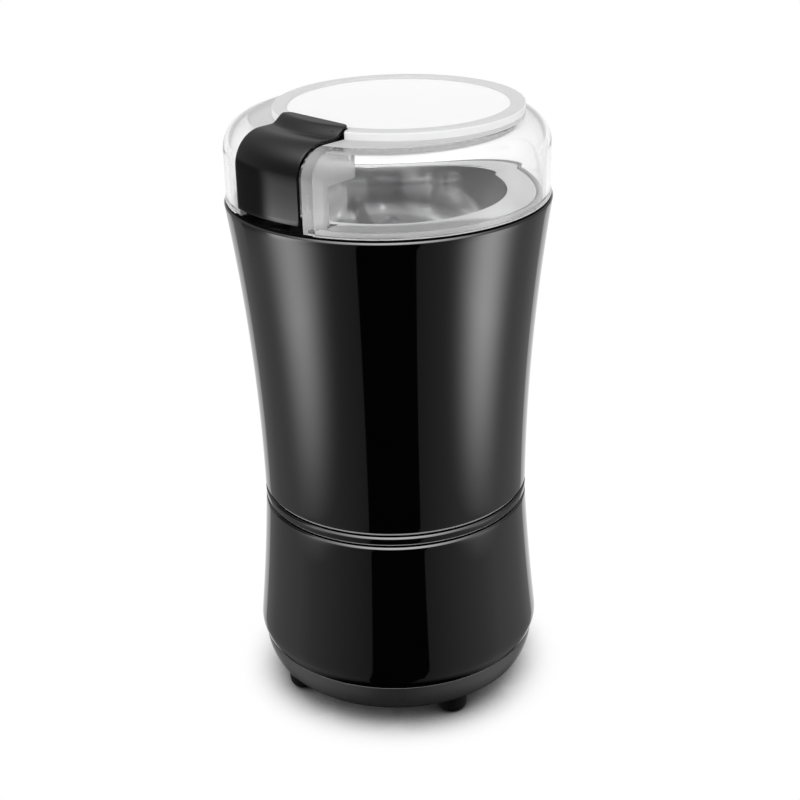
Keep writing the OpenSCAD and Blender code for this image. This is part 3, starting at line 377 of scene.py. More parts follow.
def side_light(name, sign, strength, on_button=0.0):
    """An upright card beside the object: sign is 1 for the right, strength its brightest value, and
    on_button the brightest value of its upper part, if it has one."""
    glow, tree = bare_material(name)
    spot = add(tree, "ShaderNodeSeparateXYZ", Vector=add(tree, "ShaderNodeTexCoord").outputs["UV"]).outputs
    across = bell(tree, spot["X"], 0.5, LIGHT_SPREAD / (2 * LIGHT_HALF))
    light = times(tree, by_height(tree, spot["Y"], LIGHT_RISE), across, strength)
    clear = add(tree, "ShaderNodeBsdfTransparent")
    if on_button:
        light, see_through = button_part(tree, spot, light, on_button)
        fill(tree, clear, Color=see_through)
    over = two_shaders(tree, "ShaderNodeAddShader", clear, add(tree, "ShaderNodeEmission", Strength=light))
    add(tree, "ShaderNodeOutputMaterial", Surface=over)
    middle = Vector((sign * LIGHT_SPOT[0], LIGHT_SPOT[1], 0))
    slant = LIGHT_AZIMUTH * DEGREE
    along = Vector((math.cos(slant), sign * math.sin(slant), 0)) * LIGHT_HALF
    up = Vector((0, 0, LIGHT_TOP))
    points = [middle - along, middle + along, middle + along + up, middle - along + up]
    turn = Matrix.Rotation(VIEW_AZIMUTH, 4, "Z")
    mesh = new_mesh(name, [turn @ p * MM for p in points], [(0, 1, 2, 3)], glow)
    mesh.uv_layers.new(name="card")
    for loop, corner in zip(mesh.uv_layers[0].data, ((0, 0), (1, 0), (1, 1), (0, 1))):
        loop.uv = corner
    obj = as_object(name, mesh)
    obj.visible_camera = obj.visible_diffuse = obj.visible_transmission = obj.visible_shadow = False
    obj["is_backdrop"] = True


side_light("light_right", 1, 4.6)
side_light("light_left", -1, 3.7, on_button=8.0)
print("side lights at", LIGHT_SPOT, "mm, up to", LIGHT_TOP, "mm")

# %% [markdown]
# ## The floor
# The floor is a white sheet. To the camera, and through the clear lid, it is exactly white where nothing
# stands near, and darkens by how much of the sky a point loses to the object, which gives the short soft
# contact shadow. Mirrored rays pass through it to the studio below, and a camera under it looks through
# it at the feet.

# %% The floor
FLOOR_HALF = 3000.0
SHADOW_REACH = 15.0
SHADOW_GREYS = ((0.2, 0.014), (0.29, 0.065), (0.43, 0.23), (0.56, 0.51), (0.67, 0.75), (0.78, 0.91),
                (0.88, 0.98), (0.96, 1.0))

white_sheet, sheet = bare_material("white_sheet")
open_sky = add(sheet, "ShaderNodeAmbientOcclusion", {"samples": 16}, Distance=SHADOW_REACH * MM).outputs["AO"]
to_camera = add(sheet, "ShaderNodeEmission", Color=ramp(sheet, open_sky, SHADOW_GREYS))
to_rest = add(sheet, "ShaderNodeBsdfDiffuse", Color=(0.85, 0.85, 0.85, 1))
paths = add(sheet, "ShaderNodeLightPath").outputs
looked_at = calc(sheet, "MAXIMUM", paths["Is Camera Ray"], paths["Is Transmission Ray"])
from_above = two_shaders(sheet, "ShaderNodeMixShader", to_rest, to_camera, Fac=looked_at)
from_below = add(sheet, "ShaderNodeBsdfTransparent")
side = add(sheet, "ShaderNodeNewGeometry").outputs["Backfacing"]
either = two_shaders(sheet, "ShaderNodeMixShader", from_above, from_below, Fac=side)
add(sheet, "ShaderNodeOutputMaterial", Surface=either)
corners = [(x * FLOOR_HALF * MM, y * FLOOR_HALF * MM, 0) for x, y in ((-1, -1), (1, -1), (1, 1), (-1, 1))]
floor = as_object("floor", new_mesh("floor", corners, [(0, 1, 2, 3)], white_sheet))
floor.visible_glossy = False
floor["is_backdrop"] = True
print("floor", 2 * FLOOR_HALF / 1000, "m square")

# %% [markdown]
# ## Finishes
# Every finish is a Principled shader with at least one procedural pattern in it, because no moulded,
# drawn or brushed surface is perfectly even. The patterns read Object coordinates, so they stay on the
# piece in every view.

# %% A finish with a fine pattern
BUMP_HEIGHT = 0.1


def finish(name, colour, roughness, metal=0.0, ior=1.5, grain=1.0, rough_swing=0.1, colour_swing=0.1,
           bump=0.05, stretch=(1, 1, 1), **sockets):
    """A material whose roughness and colour vary with a fine noise, and whose surface has a slight bump.
    grain is the size of the pattern in millimetres, stretch lengthens it along an axis."""
    material = bpy.data.materials.new(name)
    material.use_nodes = True
    tree = material.node_tree
    spot = add(tree, "ShaderNodeTexCoord").outputs["Object"]
    scaled = add(tree, "ShaderNodeMapping", Vector=spot, Scale=stretch)
    even = add(tree, "ShaderNodeTexNoise", Vector=scaled, Scale=1 / (grain * MM), Detail=3.0)
    tint = (*colour, 1)
    if colour_swing:
        low, high = (tuple(c * (1 + s) for c in colour) for s in (-colour_swing, colour_swing))
        tint = add(tree, "ShaderNodeMixRGB", Fac=even, Color1=(*low, 1), Color2=(*high, 1))
    rough = add(tree, "ShaderNodeMapRange", Value=even, From_Min=0.3, From_Max=0.7,
                To_Min=roughness * (1 - rough_swing), To_Max=roughness * (1 + rough_swing))
    relief = add(tree, "ShaderNodeBump", Strength=bump, Distance=BUMP_HEIGHT * MM, Height=even)
    fill(tree, tree.nodes["Principled BSDF"], Base_Color=tint, Metallic=metal, IOR=ior, Roughness=rough,
         Normal=relief, **sockets)
    return material


# %% Plastics and rubber
gloss_black = finish("gloss_black", (0.001, 0.001, 0.001), 0.045, grain=2.5, rough_swing=0.25, bump=0.003)
trim_black = finish("trim_black", (0.0015, 0.0015, 0.0015), 0.06, grain=2.0, rough_swing=0.25, bump=0.003)
# A painted highlight: pale grey for the chamfers that face down, in place of the light they would mirror.
painted_edge_sheen = finish("painted_edge_sheen", (0.4, 0.4, 0.4), 0.45, grain=0.6, bump=0.02)
button_black = finish("button_black", (0.003, 0.003, 0.0031), 0.14, grain=0.25, rough_swing=0.12, bump=0.01,
                      Specular_IOR_Level=0.22)
deck_black = finish("deck_black", (0.0015, 0.0015, 0.0015), 0.5, grain=1.2, bump=0.01,
                    Specular_IOR_Level=0.01)
base_grey = finish("base_grey", (0.021, 0.021, 0.0215), 0.34, grain=0.3, rough_swing=0.12, bump=0.04,
                   Specular_IOR_Level=1.0)
rubber_black = finish("rubber_black", (0.002, 0.002, 0.002), 0.62, grain=0.5, bump=0.1,
                      Specular_IOR_Level=0.1)
white_plastic = finish("white_plastic", (0.75, 0.74, 0.7), 0.35, grain=1.0, bump=0.02)
bracket_plastic = finish("bracket_plastic", (0.05, 0.046, 0.042), 0.5, grain=0.4, bump=0.08)
carbon = finish("carbon", (0.02, 0.02, 0.022), 0.55, grain=0.2, bump=0.1)
print("plastics:", [m.name for m in (gloss_black, trim_black, button_black, deck_black, base_grey)])

# %% Metals
bowl_steel = finish("bowl_steel", (0.95, 0.95, 0.955), 0.09, metal=0.85, grain=0.6, rough_swing=0.12,
                    bump=0.002, colour_swing=0.03, stretch=(0.06, 0.06, 1.6))
blade_steel = finish("blade_steel", (0.66, 0.66, 0.67), 0.22, metal=1.0, grain=0.3, rough_swing=0.3,
                     bump=0.06, stretch=(0.15, 1.5, 1.5))
shaft_steel = finish("shaft_steel", (0.6, 0.6, 0.61), 0.2, metal=1.0, grain=0.3, rough_swing=0.3, bump=0.03,
                     stretch=(0.3, 0.3, 2))
zinc_screw = finish("zinc_screw", (0.56, 0.56, 0.55), 0.32, metal=1.0, grain=0.4, rough_swing=0.3, bump=0.05)
bracket_metal = finish("bracket_metal", (0.5, 0.51, 0.52), 0.4, metal=1.0, grain=1.4, rough_swing=0.25,
                       bump=0.05)
lamination = finish("lamination", (0.3, 0.3, 0.32), 0.45, metal=1.0, grain=0.5, rough_swing=0.2, bump=0.3,
                    stretch=(0.05, 0.05, 1))
winding_copper = finish("winding_copper", (0.5, 0.2, 0.08), 0.35, metal=1.0, grain=0.4, bump=0.4,
                        stretch=(0.2, 0.2, 1.0))
bronze = finish("bronze", (0.5, 0.34, 0.16), 0.45, metal=1.0, grain=0.3, bump=0.15)
spring_steel = finish("spring_steel", (0.55, 0.55, 0.56), 0.28, metal=1.0, grain=0.3, bump=0.03)
print("metals:", [m.name for m in (bowl_steel, blade_steel, shaft_steel, zinc_screw, spring_steel)])

# %% [markdown]
# The lid is clear moulded plastic. Transmission makes it clear, and a faint waviness in the surface gives
# the slightly bent look that moulded walls have. The round window in its top is moulded with a matt face,
# so it scatters the light and reads white.

# %% The clear lid and its matt window
clear_lid = finish("clear_lid", (1, 1, 1), 0.012, ior=1.35, grain=9.0, rough_swing=0.4, colour_swing=0.0,
                   bump=0.02, Transmission_Weight=1.0)
satin_lip = finish("satin_lip", (0.7, 0.7, 0.7), 0.5, grain=0.4, colour_swing=0.01, bump=0.01)
satin_wall = finish("satin_wall", (0.98, 0.98, 0.98), 0.4, ior=1.2, grain=0.4, colour_swing=0.01, bump=0.01,
                    Transmission_Weight=0.45)
seat_white = finish("seat_white", (0.85, 0.85, 0.85), 0.5, grain=0.6, colour_swing=0.02, bump=0.02)
matt_window = finish("matt_window", (0.995, 0.995, 0.995), 0.5, grain=0.4, colour_swing=0.005, bump=0.01)
print("lid finishes:", clear_lid.name, matt_window.name, satin_lip.name, satin_wall.name)

# %% [markdown]
# ## Turned pieces
# Most of this object is round: someone drew a half outline and turned it about the axis. The same is done
# here. An outline is a short list of corners, each with its rounding, and a node tree turns it. Spin or
# the Screw modifier would do as well, but a tree keeps the number of segments and the finish as inputs
# that can be changed later.

# %% Outlines with rounded corners and bowed sides
def bowed(p, q, sag, steps=24):
    """Points between p and q on an arc that bows by sag towards the axis."""
    p, q = Vector(p), Vector(q)
    along = q - p
    half = along.length / 2
    radius = (half * half + sag * sag) / (2 * abs(sag))
    inward = Vector((-along.y, along.x)).normalized() * math.copysign(1, sag)
    middle = (p + q) / 2 - inward * (radius - abs(sag))
    reach = math.asin(half / radius)
    points = []
    for i in range(1, steps):
        a = reach * (2 * i / steps - 1)
        spot = middle + inward * radius * math.cos(a) + along.normalized() * radius * math.sin(a)
        points.append((*spot, 0))
    return points


def rounded(corners, steps=5):
    """The outline through corners (r, z, rounding), closed."""
    points = []
    for i, (r, z, rounding) in enumerate(corners):
        here = Vector((r, z))
        if not rounding:
            points.append(here)
            continue
        back = Vector(corners[i - 1][:2]) - here
        on = Vector(corners[(i + 1) % len(corners)][:2]) - here
        half = back.angle(on) / 2
        reach = min(rounding / math.tan(half), 0.49 * min(back.length, on.length))
        radius = reach * math.tan(half)
        middle = here + (back.normalized() + on.normalized()).normalized() * radius / math.sin(half)
        start = here + back.normalized() * reach - middle
        turn = start.angle_signed(here + on.normalized() * reach - middle)
        for k in range(steps + 1):
            spoke = start.copy()
            spoke.rotate(Matrix.Rotation(-turn * k / steps, 2))
            points.append(middle + spoke)
    return points


print("a rounded square has", len(rounded([(0, 0, 1), (4, 0, 1), (4, 4, 1), (0, 4, 1)])), "points")

# %% The tree that turns an outline
def start_tree(name, *inputs):
    """An empty node tree with named inputs: pairs of a name and a kind of socket."""
    tree = bpy.data.node_groups.new(name, "GeometryNodeTree")
    tree.interface.new_socket("Geometry", in_out="INPUT", socket_type="NodeSocketGeometry")
    for title, kind in inputs:
        tree.interface.new_socket(title, in_out="INPUT", socket_type="NodeSocket" + kind)
    tree.interface.new_socket("Geometry", in_out="OUTPUT", socket_type="NodeSocketGeometry")
    return tree, add(tree, "NodeGroupInput").outputs, add(tree, "NodeGroupOutput").inputs


def end_tree(tree, geometry, material, result):
    """Closes a tree: real geometry with its finish."""
    real = add(tree, "GeometryNodeRealizeInstances", Geometry=geometry)
    put(tree, result["Geometry"], add(tree, "GeometryNodeSetMaterial", Geometry=real, Material=material))


PATH_RADIUS = 0.05
turning, given, result = start_tree("Turned piece", ("Segments", "Int"), ("Finish", "Material"))
parts = add(turning, "ShaderNodeSeparateXYZ", Vector=add(turning, "GeometryNodeInputPosition")).outputs
across = calc(turning, "SUBTRACT", parts["X"], PATH_RADIUS)
flat = add(turning, "ShaderNodeCombineXYZ", X=across, Y=times(turning, parts["Z"], -1.0))
laid = add(turning, "GeometryNodeSetPosition", Geometry=given["Geometry"], Position=flat)
profile = add(turning, "GeometryNodeMeshToCurve", Mesh=laid)
path = add(turning, "GeometryNodeCurvePrimitiveCircle", Resolution=given["Segments"], Radius=PATH_RADIUS)
upright = add(turning, "GeometryNodeSetCurveNormal", {"mode": "Z_UP"}, Curve=path)
swept = add(turning, "GeometryNodeCurveToMesh", Curve=upright, Profile_Curve=profile)
end_tree(turning, swept, given["Finish"], result)
print("tree:", turning.name, len(turning.nodes), "nodes")

# %% From a tree to a plain mesh
SMOOTH_ANGLE = math.radians(32)
MERGE_REACH = 3e-6
SLIVER = 1e-8


def tidy(mesh):
    """Merges doubles, turns the faces outwards and smooths all but the sharp edges."""
    shape = bmesh.new()
    shape.from_mesh(mesh)
    bmesh.ops.remove_doubles(shape, verts=shape.verts, dist=MERGE_REACH)
    bmesh.ops.dissolve_degenerate(shape, edges=shape.edges, dist=SLIVER)
    bmesh.ops.recalc_face_normals(shape, faces=shape.faces)
    shape.to_mesh(mesh)
    shape.free()
    mesh.shade_smooth()
    mesh.set_sharp_from_angle(angle=SMOOTH_ANGLE)


def plain(obj):
    """Makes what the modifiers show the object's own mesh, and takes the modifiers off."""
    seen_now = obj.evaluated_get(bpy.context.evaluated_depsgraph_get())
    mesh = bpy.data.meshes.new_from_object(seen_now)
    obj.modifiers.clear()
    obj.data = mesh
    tidy(mesh)
    return obj


def grow(obj, tree, **inputs):
    """Runs a node tree on the object, with its inputs set, and keeps the result as a plain mesh."""
    modifier = obj.modifiers.new(tree.name, "NODES")
    modifier.node_group = tree
    for item in tree.interface.items_tree:
        if item.in_out == "INPUT" and item.name in inputs:
            modifier[item.identifier] = inputs[item.name]
    return plain(obj)


def turned(name, corners, material, segments=160, steps=5, at=(0, 0)):
    """A closed outline turned about an upright axis at (x, y)."""
    points = [Vector((p.x * MM, 0, p.y * MM)) for p in rounded(corners, steps)]
    mesh = bpy.data.meshes.new(name)
    mesh.from_pydata(points, [(i, (i + 1) % len(points)) for i in range(len(points))], [])
    obj = grow(as_object(name, mesh), turning, Segments=segments, Finish=material)
    obj.data.transform(Matrix.Translation((at[0] * MM, at[1] * MM, 0)))
    return obj


def rod(name, r, start, end, material, edges=(0, 0), segments=48, steps=4, at=(0, 0)):
    """A round block between two heights. Edges are the roundings of its start and end."""
    outline = [(0, start, 0), (r, start, edges[0]), (r, end, edges[1]), (0, end, 0)]
    return turned(name, outline, material, segments, steps, at)


# %% Shaping helpers: cut, join and place
def carve(obj, tool, operation="DIFFERENCE"):
    """Cuts one closed shape out of another, joins them or keeps what they share, and removes the tool."""
    modifier = obj.modifiers.new("carve", "BOOLEAN")
    modifier.operation = operation
    modifier.solver = "MANIFOLD"
    modifier.object = tool
    plain(obj)
    bpy.data.objects.remove(tool)
    return obj


def together(first, *others):
    """Puts several meshes into one object without joining their surfaces."""
    shape = bmesh.new()
    slots = list(first.data.materials)
    for obj in (first, *others):
        start = len(shape.faces)
        shape.from_mesh(obj.data)
        shape.faces.ensure_lookup_table()
        for face in shape.faces[start:]:
            material = obj.data.materials[face.material_index] if obj.data.materials else None
            if material not in slots:
                slots.append(material)
            face.material_index = slots.index(material)
    mesh = bpy.data.meshes.new(first.name)
    paint(mesh, *slots)
    shape.to_mesh(mesh)
    shape.free()
    for obj in others:
        bpy.data.objects.remove(obj)
    first.data = mesh
    mesh.set_sharp_from_angle(angle=SMOOTH_ANGLE)
    return first


def tell(obj):
    """Prints how many faces a piece has and where it lies, in millimetres."""
    sides = [[v.co[i] / MM for v in obj.data.vertices] for i in range(3)]
    print(obj.name, len(obj.data.polygons), "faces,", [f"{min(s):.1f}..{max(s):.1f}" for s in sides])


def dress(obj, body, slot, *nodes):
    """Hangs a finished piece under the empty of the body it moves with, hides the frame's parts it stands for
    and prints its size. The slot is not used.
    """
    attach(obj, body)
    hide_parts(*nodes)
    tell(obj)
    return obj


# %% [markdown]
# ## The tree that sets copies in a ring
# Feet, screws, pillars and vents come in rings. One tree takes a single shape and sets copies of it round
# the axis, each turned to face outwards. Copying with a loop would work too, but then a change of the
# count would mean new objects.

# %% A ring of copies
ringing, given, result = start_tree("Ring of copies", ("Count", "Int"), ("Radius", "Float"),
                                    ("Turn", "Float"), ("Finish", "Material"))
step = calc(ringing, "DIVIDE", math.tau, given["Count"])
angle = calc(ringing, "MULTIPLY_ADD", add(ringing, "GeometryNodeInputIndex"), step, given["Turn"])
x, y = (times(ringing, calc(ringing, part, angle), given["Radius"]) for part in ("COSINE", "SINE"))
spot = add(ringing, "ShaderNodeCombineXYZ", X=x, Y=y)
spots = add(ringing, "GeometryNodePoints", Count=given["Count"], Position=spot)
facing = add(ringing, "ShaderNodeCombineXYZ", Z=angle)
copies = add(ringing, "GeometryNodeInstanceOnPoints", Points=spots, Instance=given["Geometry"],
             Rotation=facing)
end_tree(ringing, copies, given["Finish"], result)


def ring_of(obj, count, radius, turn_degrees, material):
    """Copies of a shape in a ring, the first at an angle in degrees."""
    turn = math.radians(turn_degrees)
    return grow(obj, ringing, Count=count, Radius=radius * MM, Turn=turn, Finish=material)


print("tree:", ringing.name, len(ringing.nodes), "nodes")

# %% [markdown]
# ## The housings
# The body is three gloss black turnings: a tall upper housing that flares to the rim, a narrow trim ring
# and a lower housing with a rounded foot. Their edges are chamfered, and those small flats draw the
# bright lines round the waist: the flats that face up mirror the softbox, and the flats that face down
# get a painted highlight, a pale grey colour in place of the light they would mirror. Between them a
# fine gap stays open, so the bottom of each groove is black.

# %% Upper housing
GROOVE = 0.5
GROOVE_GAP = 0.42
EDGE_H = 0.75
TRIM_CLEAR = 0.45
UPPER_SAG = 1.6
RIM_INSET = 0.09
SPIGOT_R = waist_r - WALL - 0.1
SPIGOT_T = 1.6
SPIGOT_H = 4.0
SPIGOT_ROOT = 6.0
EDGE = 0.12

foot_line = upper_z + GROOVE_GAP / 2
outer_wall = bowed((waist_r, upper_z), (rim_r, rim_z), UPPER_SAG, 40)
outer_wall = [p for p in outer_wall if foot_line + EDGE_H < p[1] < rim_z - GROOVE]
inner_wall = [(r - WALL, z, 0) for r, z, _ in reversed(outer_wall) if z > upper_z + SPIGOT_ROOT + 2]
upper_housing = turned("upper_housing_shell", [
    (SPIGOT_R, foot_line, 0),
    (waist_r - GROOVE, foot_line, EDGE),
    (waist_r, foot_line + EDGE_H, EDGE),
    *outer_wall,
    (rim_r - RIM_INSET, rim_z - GROOVE, EDGE),
    (rim_r - GROOVE, rim_z, EDGE),
    (rim_r - WALL, rim_z, 0),
    *inner_wall,
    (SPIGOT_R - SPIGOT_T, upper_z + SPIGOT_ROOT, 0),
    (SPIGOT_R - SPIGOT_T, trim_z - SPIGOT_H, 0.3),
    (SPIGOT_R, trim_z - SPIGOT_H, 0.3),
], gloss_black, segments=192, steps=3)


def paint_edge_sheen(obj, z):
    """Paints the chamfer that faces down at height z pale grey, a painted highlight in place of the light
    that the black edge would mirror.
    """
    obj.data.materials.append(painted_edge_sheen)
    for face in obj.data.polygons:
        height, reach = face.center.z / MM, face.center.xy.length / MM
        if face.normal.z < -0.3 and z - 0.1 < height < z + EDGE_H and reach > waist_r - GROOVE:
            face.material_index = 1


# The downward chamfer at the foot of the upper housing gets the painted highlight.
paint_edge_sheen(upper_housing, foot_line)
tell(upper_housing)

# %% Screw pillars inside the upper housing
PILLAR_R = 3.0
PILLAR_TURN = 27.7
SCREWS = 4
SCREW_R = 1.5
SCREW_BORE = 20.0
pillar_ring = SPIGOT_R - SPIGOT_T / 2 - PILLAR_R
pillar_z = upper_low.z
pillar = turned("pillar", [
    (SCREW_R, pillar_z, 0.2),
    (SCREW_R, pillar_z + SCREW_BORE, 0),
    (0, pillar_z + SCREW_BORE, 0),
    (0, upper_z, 0),
    (PILLAR_R, upper_z, 0.3),
    (PILLAR_R, pillar_z, 0.3),
], gloss_black, segments=32, steps=2)
pillars = ring_of(pillar, SCREWS, pillar_ring, PILLAR_TURN, gloss_black)
dress(together(upper_housing, pillars), "base", "gloss_black", "upper_housing")

# %% Trim ring
trim = turned("trim_band", [
    (SPIGOT_R + 0.1, trim_z + TRIM_CLEAR, 0),
    (waist_r - GROOVE, trim_z + TRIM_CLEAR, EDGE),
    (waist_r, trim_z + TRIM_CLEAR + GROOVE, EDGE),
    (waist_r, upper_z - TRIM_CLEAR - GROOVE, EDGE),
    (waist_r - GROOVE, upper_z - TRIM_CLEAR, EDGE),
    (SPIGOT_R + 0.1, upper_z - TRIM_CLEAR, 0),
], trim_black, segments=192, steps=3)
# The downward chamfer at the foot of the trim ring gets the painted highlight.
paint_edge_sheen(trim, trim_z + TRIM_CLEAR)
dress(trim, "base", "gloss_black", "trim_ring")

# %% Lower housing
LOWER_SAG = 0.3
WAIST_OUTSET = 0.03
LOWER_ROUND = 8.0
LOWER_ROUND_H = 4.0
SEAM_GAP = 0.12
foot_centre = Vector((lower_r - LOWER_ROUND, seam_z + LOWER_ROUND_H))


def foot_arc(inset, steps=12):
    """The rounded foot of the lower housing, from the seam up."""
    radius = LOWER_ROUND - inset
    low = -math.asin(LOWER_ROUND_H / radius)
    angles = [low * (1 - i / steps) for i in range(steps)]
    return [(foot_centre.x + radius * math.cos(a), foot_centre.y + radius * math.sin(a), 0) for a in angles]


shoulder = (lower_r, foot_centre.y)
top_line = trim_z - GROOVE_GAP / 2
outer_wall = [p for p in bowed(shoulder, (waist_r, trim_z), LOWER_SAG) if p[1] < top_line - GROOVE]
lower_housing = turned("lower_housing_shell", [
    *[(r, z + SEAM_GAP * (1 - (z - seam_z) / LOWER_ROUND_H), 0) for r, z, _ in foot_arc(0)],
    *outer_wall,
    (waist_r + WAIST_OUTSET, top_line - GROOVE, EDGE),
    (waist_r - GROOVE, top_line, EDGE),
    (waist_r - WALL + 0.1, top_line, 0),
    *[(r - WALL, z, 0) for r, z, _ in reversed(outer_wall)],
    *[(r, z + SEAM_GAP, 0) for r, z, _ in reversed(foot_arc(WALL))],
], gloss_black, segments=192, steps=3)
tell(lower_housing)

# %% The hole for the cord's gland
gland_low, gland_high = size_of("cord_gland")
gland_z = (gland_low.z + gland_high.z) / 2
gland_flange_r = (gland_high.z - gland_low.z) / 2
GLAND_FLANGE_T = 1.8
GLAND_WALL = 1.6
HOLE_CLEAR = 0.1
BORE_FROM, BORE_TO = 20.0, 60.0
CORD_R = gland_flange_r - 2 * GLAND_WALL
BACKWARD = Matrix.Rotation(-math.pi / 2, 4, "X")


def towards_back(obj, z):
    """Lays a turned piece down so that its axis points to +Y at height z."""
    obj.data.transform(Matrix.Translation((0, 0, z * MM)) @ BACKWARD)
    return obj


seat_y = gland_high.y - GLAND_FLANGE_T
bore_r = gland_flange_r - GLAND_WALL + HOLE_CLEAR
sink_r = gland_flange_r + HOLE_CLEAR
bore = turned("gland_bore", [
    (0, BORE_FROM, 0),
    (bore_r, BORE_FROM, 0),
    (bore_r, seat_y, 0),
    (sink_r, seat_y, 0),
    (sink_r, BORE_TO, 0),
    (0, BORE_TO, 0),
], gloss_black, segments=64)
carve(lower_housing, towards_back(bore, gland_z))
dress(lower_housing, "base", "gloss_black", "lower_housing")

# %% [markdown]
# ## The base plate, its feet and its screws
# The base is a satin dark grey dish. From below it shows sixteen cooling slots, four deep holes with
# screws and four rubber feet on pegs, so all of these are cut and set by the ring tree.

# %% Base plate
BASE_TAPER = 2.8
BASE_BULGE = 0.7
BASE_EDGE = 0.6
LIP_H = 3.0
LIP_INSET = 0.9
seam_r = foot_centre.x + math.sqrt(LOWER_ROUND**2 - LOWER_ROUND_H**2)
base_low_r = seam_r - BASE_TAPER
lip_r = seam_r - WALL - LIP_INSET
base_side = bowed((base_low_r, base_z), (seam_r, seam_z), -BASE_BULGE, 14)
base = turned("base_dish", [
    (0, base_z, 0),
    (base_low_r - BASE_EDGE, base_z, 0.5),
    *[p for p in base_side if p[1] > base_z + 1],
    (seam_r, seam_z - 0.1, 0.1),
    (lip_r, seam_z - 0.1, 0),
    (lip_r, seam_z + LIP_H, 0.4),
    (lip_r - WALL, seam_z + LIP_H, 0.4),
    (lip_r - WALL, base_z + WALL, 0.8),
    (0, base_z + WALL, 0),
], base_grey, segments=192, steps=3)
tell(base)

# %% Slots and screw holes in the base
VENTS = 16
VENT_IN = 9.0
VENT_OUT = 24.0
VENT_HALF = 1.2
SCREW_HEAD_R = 2.8
SCREW_DEPTH = 4.0
BOSS_WALL = 1.4


def prism(name, outline, z0, z1, material):
    """An upright block over an outline of (x, y) points."""
    count = len(outline)
    points = [(x * MM, y * MM, z * MM) for z in (z0, z1) for x, y in outline]
    faces = [list(range(count))[::-1], list(range(count, 2 * count))]
    faces += [[i, (i + 1) % count, count + (i + 1) % count, count + i] for i in range(count)]
    mesh = new_mesh(name, points, faces, material)
    tidy(mesh)
    return as_object(name, mesh)


def slot_shape(name, x0, x1, half, z0, z1, steps=6):
    """A bar with round ends along X."""
    outline = []
    for x, start in ((x1 - half, -90), (x0 + half, 90)):
        for k in range(steps + 1):
            a = math.radians(start + 180 * k / steps)
            outline.append((x + half * math.cos(a), half * math.sin(a)))
    return prism(name, outline, z0, z1, base_grey)


vent = slot_shape("vent", VENT_IN, VENT_OUT, VENT_HALF, base_z - 1, base_z + WALL + 1)
vents = ring_of(vent, VENTS, 0, 180 / VENTS, base_grey)
boss_r = SCREW_HEAD_R + BOSS_WALL
boss = rod("boss", boss_r, base_z + WALL / 2, pillar_z - 0.05, base_grey, (0, 0.3), steps=5)
carve(base, ring_of(boss, SCREWS, pillar_ring, PILLAR_TURN, base_grey), "UNION")
well_r, hole_r = SCREW_HEAD_R + HOLE_CLEAR, SCREW_R + HOLE_CLEAR
well_z = base_z + SCREW_DEPTH
well = turned("screw_well", [
    (0, base_z - 1, 0),
    (well_r, base_z - 1, 0),
    (well_r, well_z, 0),
    (hole_r, well_z, 0),
    (hole_r, pillar_z + 1, 0),
    (0, pillar_z + 1, 0),
], base_grey, segments=48)
carve(base, ring_of(well, SCREWS, pillar_ring, PILLAR_TURN, base_grey))
carve(base, vents)
dress(base, "base", "base_grey", "base_plate")

# %% Rubber feet
FEET = 4
FEET_TURN = -17.3
FOOT_R = 5.0
FOOT_INSET = 0.9
PEG_R = 2.2
PIN_CLEAR = 0.05
peg_z = size_of("rubber_feet")[1].z
feet_ring = base_low_r - FOOT_INSET - FOOT_R
foot = turned("rubber_feet_set", [
    (0, 0, 0),
    (FOOT_R - 0.25, 0, 2.4),
    (FOOT_R, base_z - TOUCH, 0.25),
    (PEG_R, base_z - TOUCH, 0),
    (PEG_R, peg_z, 0.4),
    (0, peg_z, 0),
], rubber_black, segments=64)
peg_hole = rod("peg_hole", PEG_R + PIN_CLEAR, base_z - 1, peg_z + HOLE_CLEAR, base_grey)
carve(base, ring_of(peg_hole, FEET, feet_ring, FEET_TURN, base_grey))
feet = ring_of(foot, FEET, feet_ring, FEET_TURN, rubber_black)
dress(feet, "base", "rubber_black", "rubber_feet")

# %% Base screws with a cross recess
screw_low, screw_high = size_of("base_screws")
head_z = screw_low.z
CROSS_HALF = 0.42
CROSS_REACH = 1.7
CROSS_DEPTH = 0.9
SCREW_HEAD_H = 1.8
neck_z = head_z + SCREW_HEAD_H
screw = turned("base_screw_set", [
    (0, head_z, 0),
    (SCREW_HEAD_R, head_z, 0.7),
    (SCREW_HEAD_R, neck_z, 0.1),
    (SCREW_R, neck_z, 0),
    (SCREW_R, screw_high.z, 0.6),
    (0, screw_high.z, 0),
], zinc_screw, segments=48)
for quarter in (0, math.pi / 2):
    cross = slot_shape("cross", -CROSS_REACH, CROSS_REACH, CROSS_HALF, head_z - 1, head_z + CROSS_DEPTH)
    cross.data.transform(Matrix.Rotation(quarter, 4, "Z"))
    carve(screw, cross)
screws = ring_of(screw, SCREWS, pillar_ring, PILLAR_TURN, zinc_screw)
dress(screws, "base", "zinc_screw", "base_screws")

# %% Cord gland
gland = turned("gland_bush", [
    (CORD_R, gland_low.y, 0.4), (CORD_R, gland_high.y, 0.6), (gland_flange_r, gland_high.y, 0.7),
    (gland_flange_r, seat_y, 0.15), (gland_flange_r - GLAND_WALL, seat_y, 0),
    (gland_flange_r - GLAND_WALL, gland_low.y, 0.4),
], rubber_black, segments=64)
dress(towards_back(gland, gland_z), "base", "rubber_black", "cord_gland")

# %% [markdown]
# ## The grinding bowl
# The bowl is drawn from thin steel sheet: a cup with a well rounded floor, a hole for the shaft and a
# flat flange that lies on the deck. It is turned like the housings, its brushing runs round the axis, and
# the wide flange is cut back at the front, where the switch's plunger comes up.

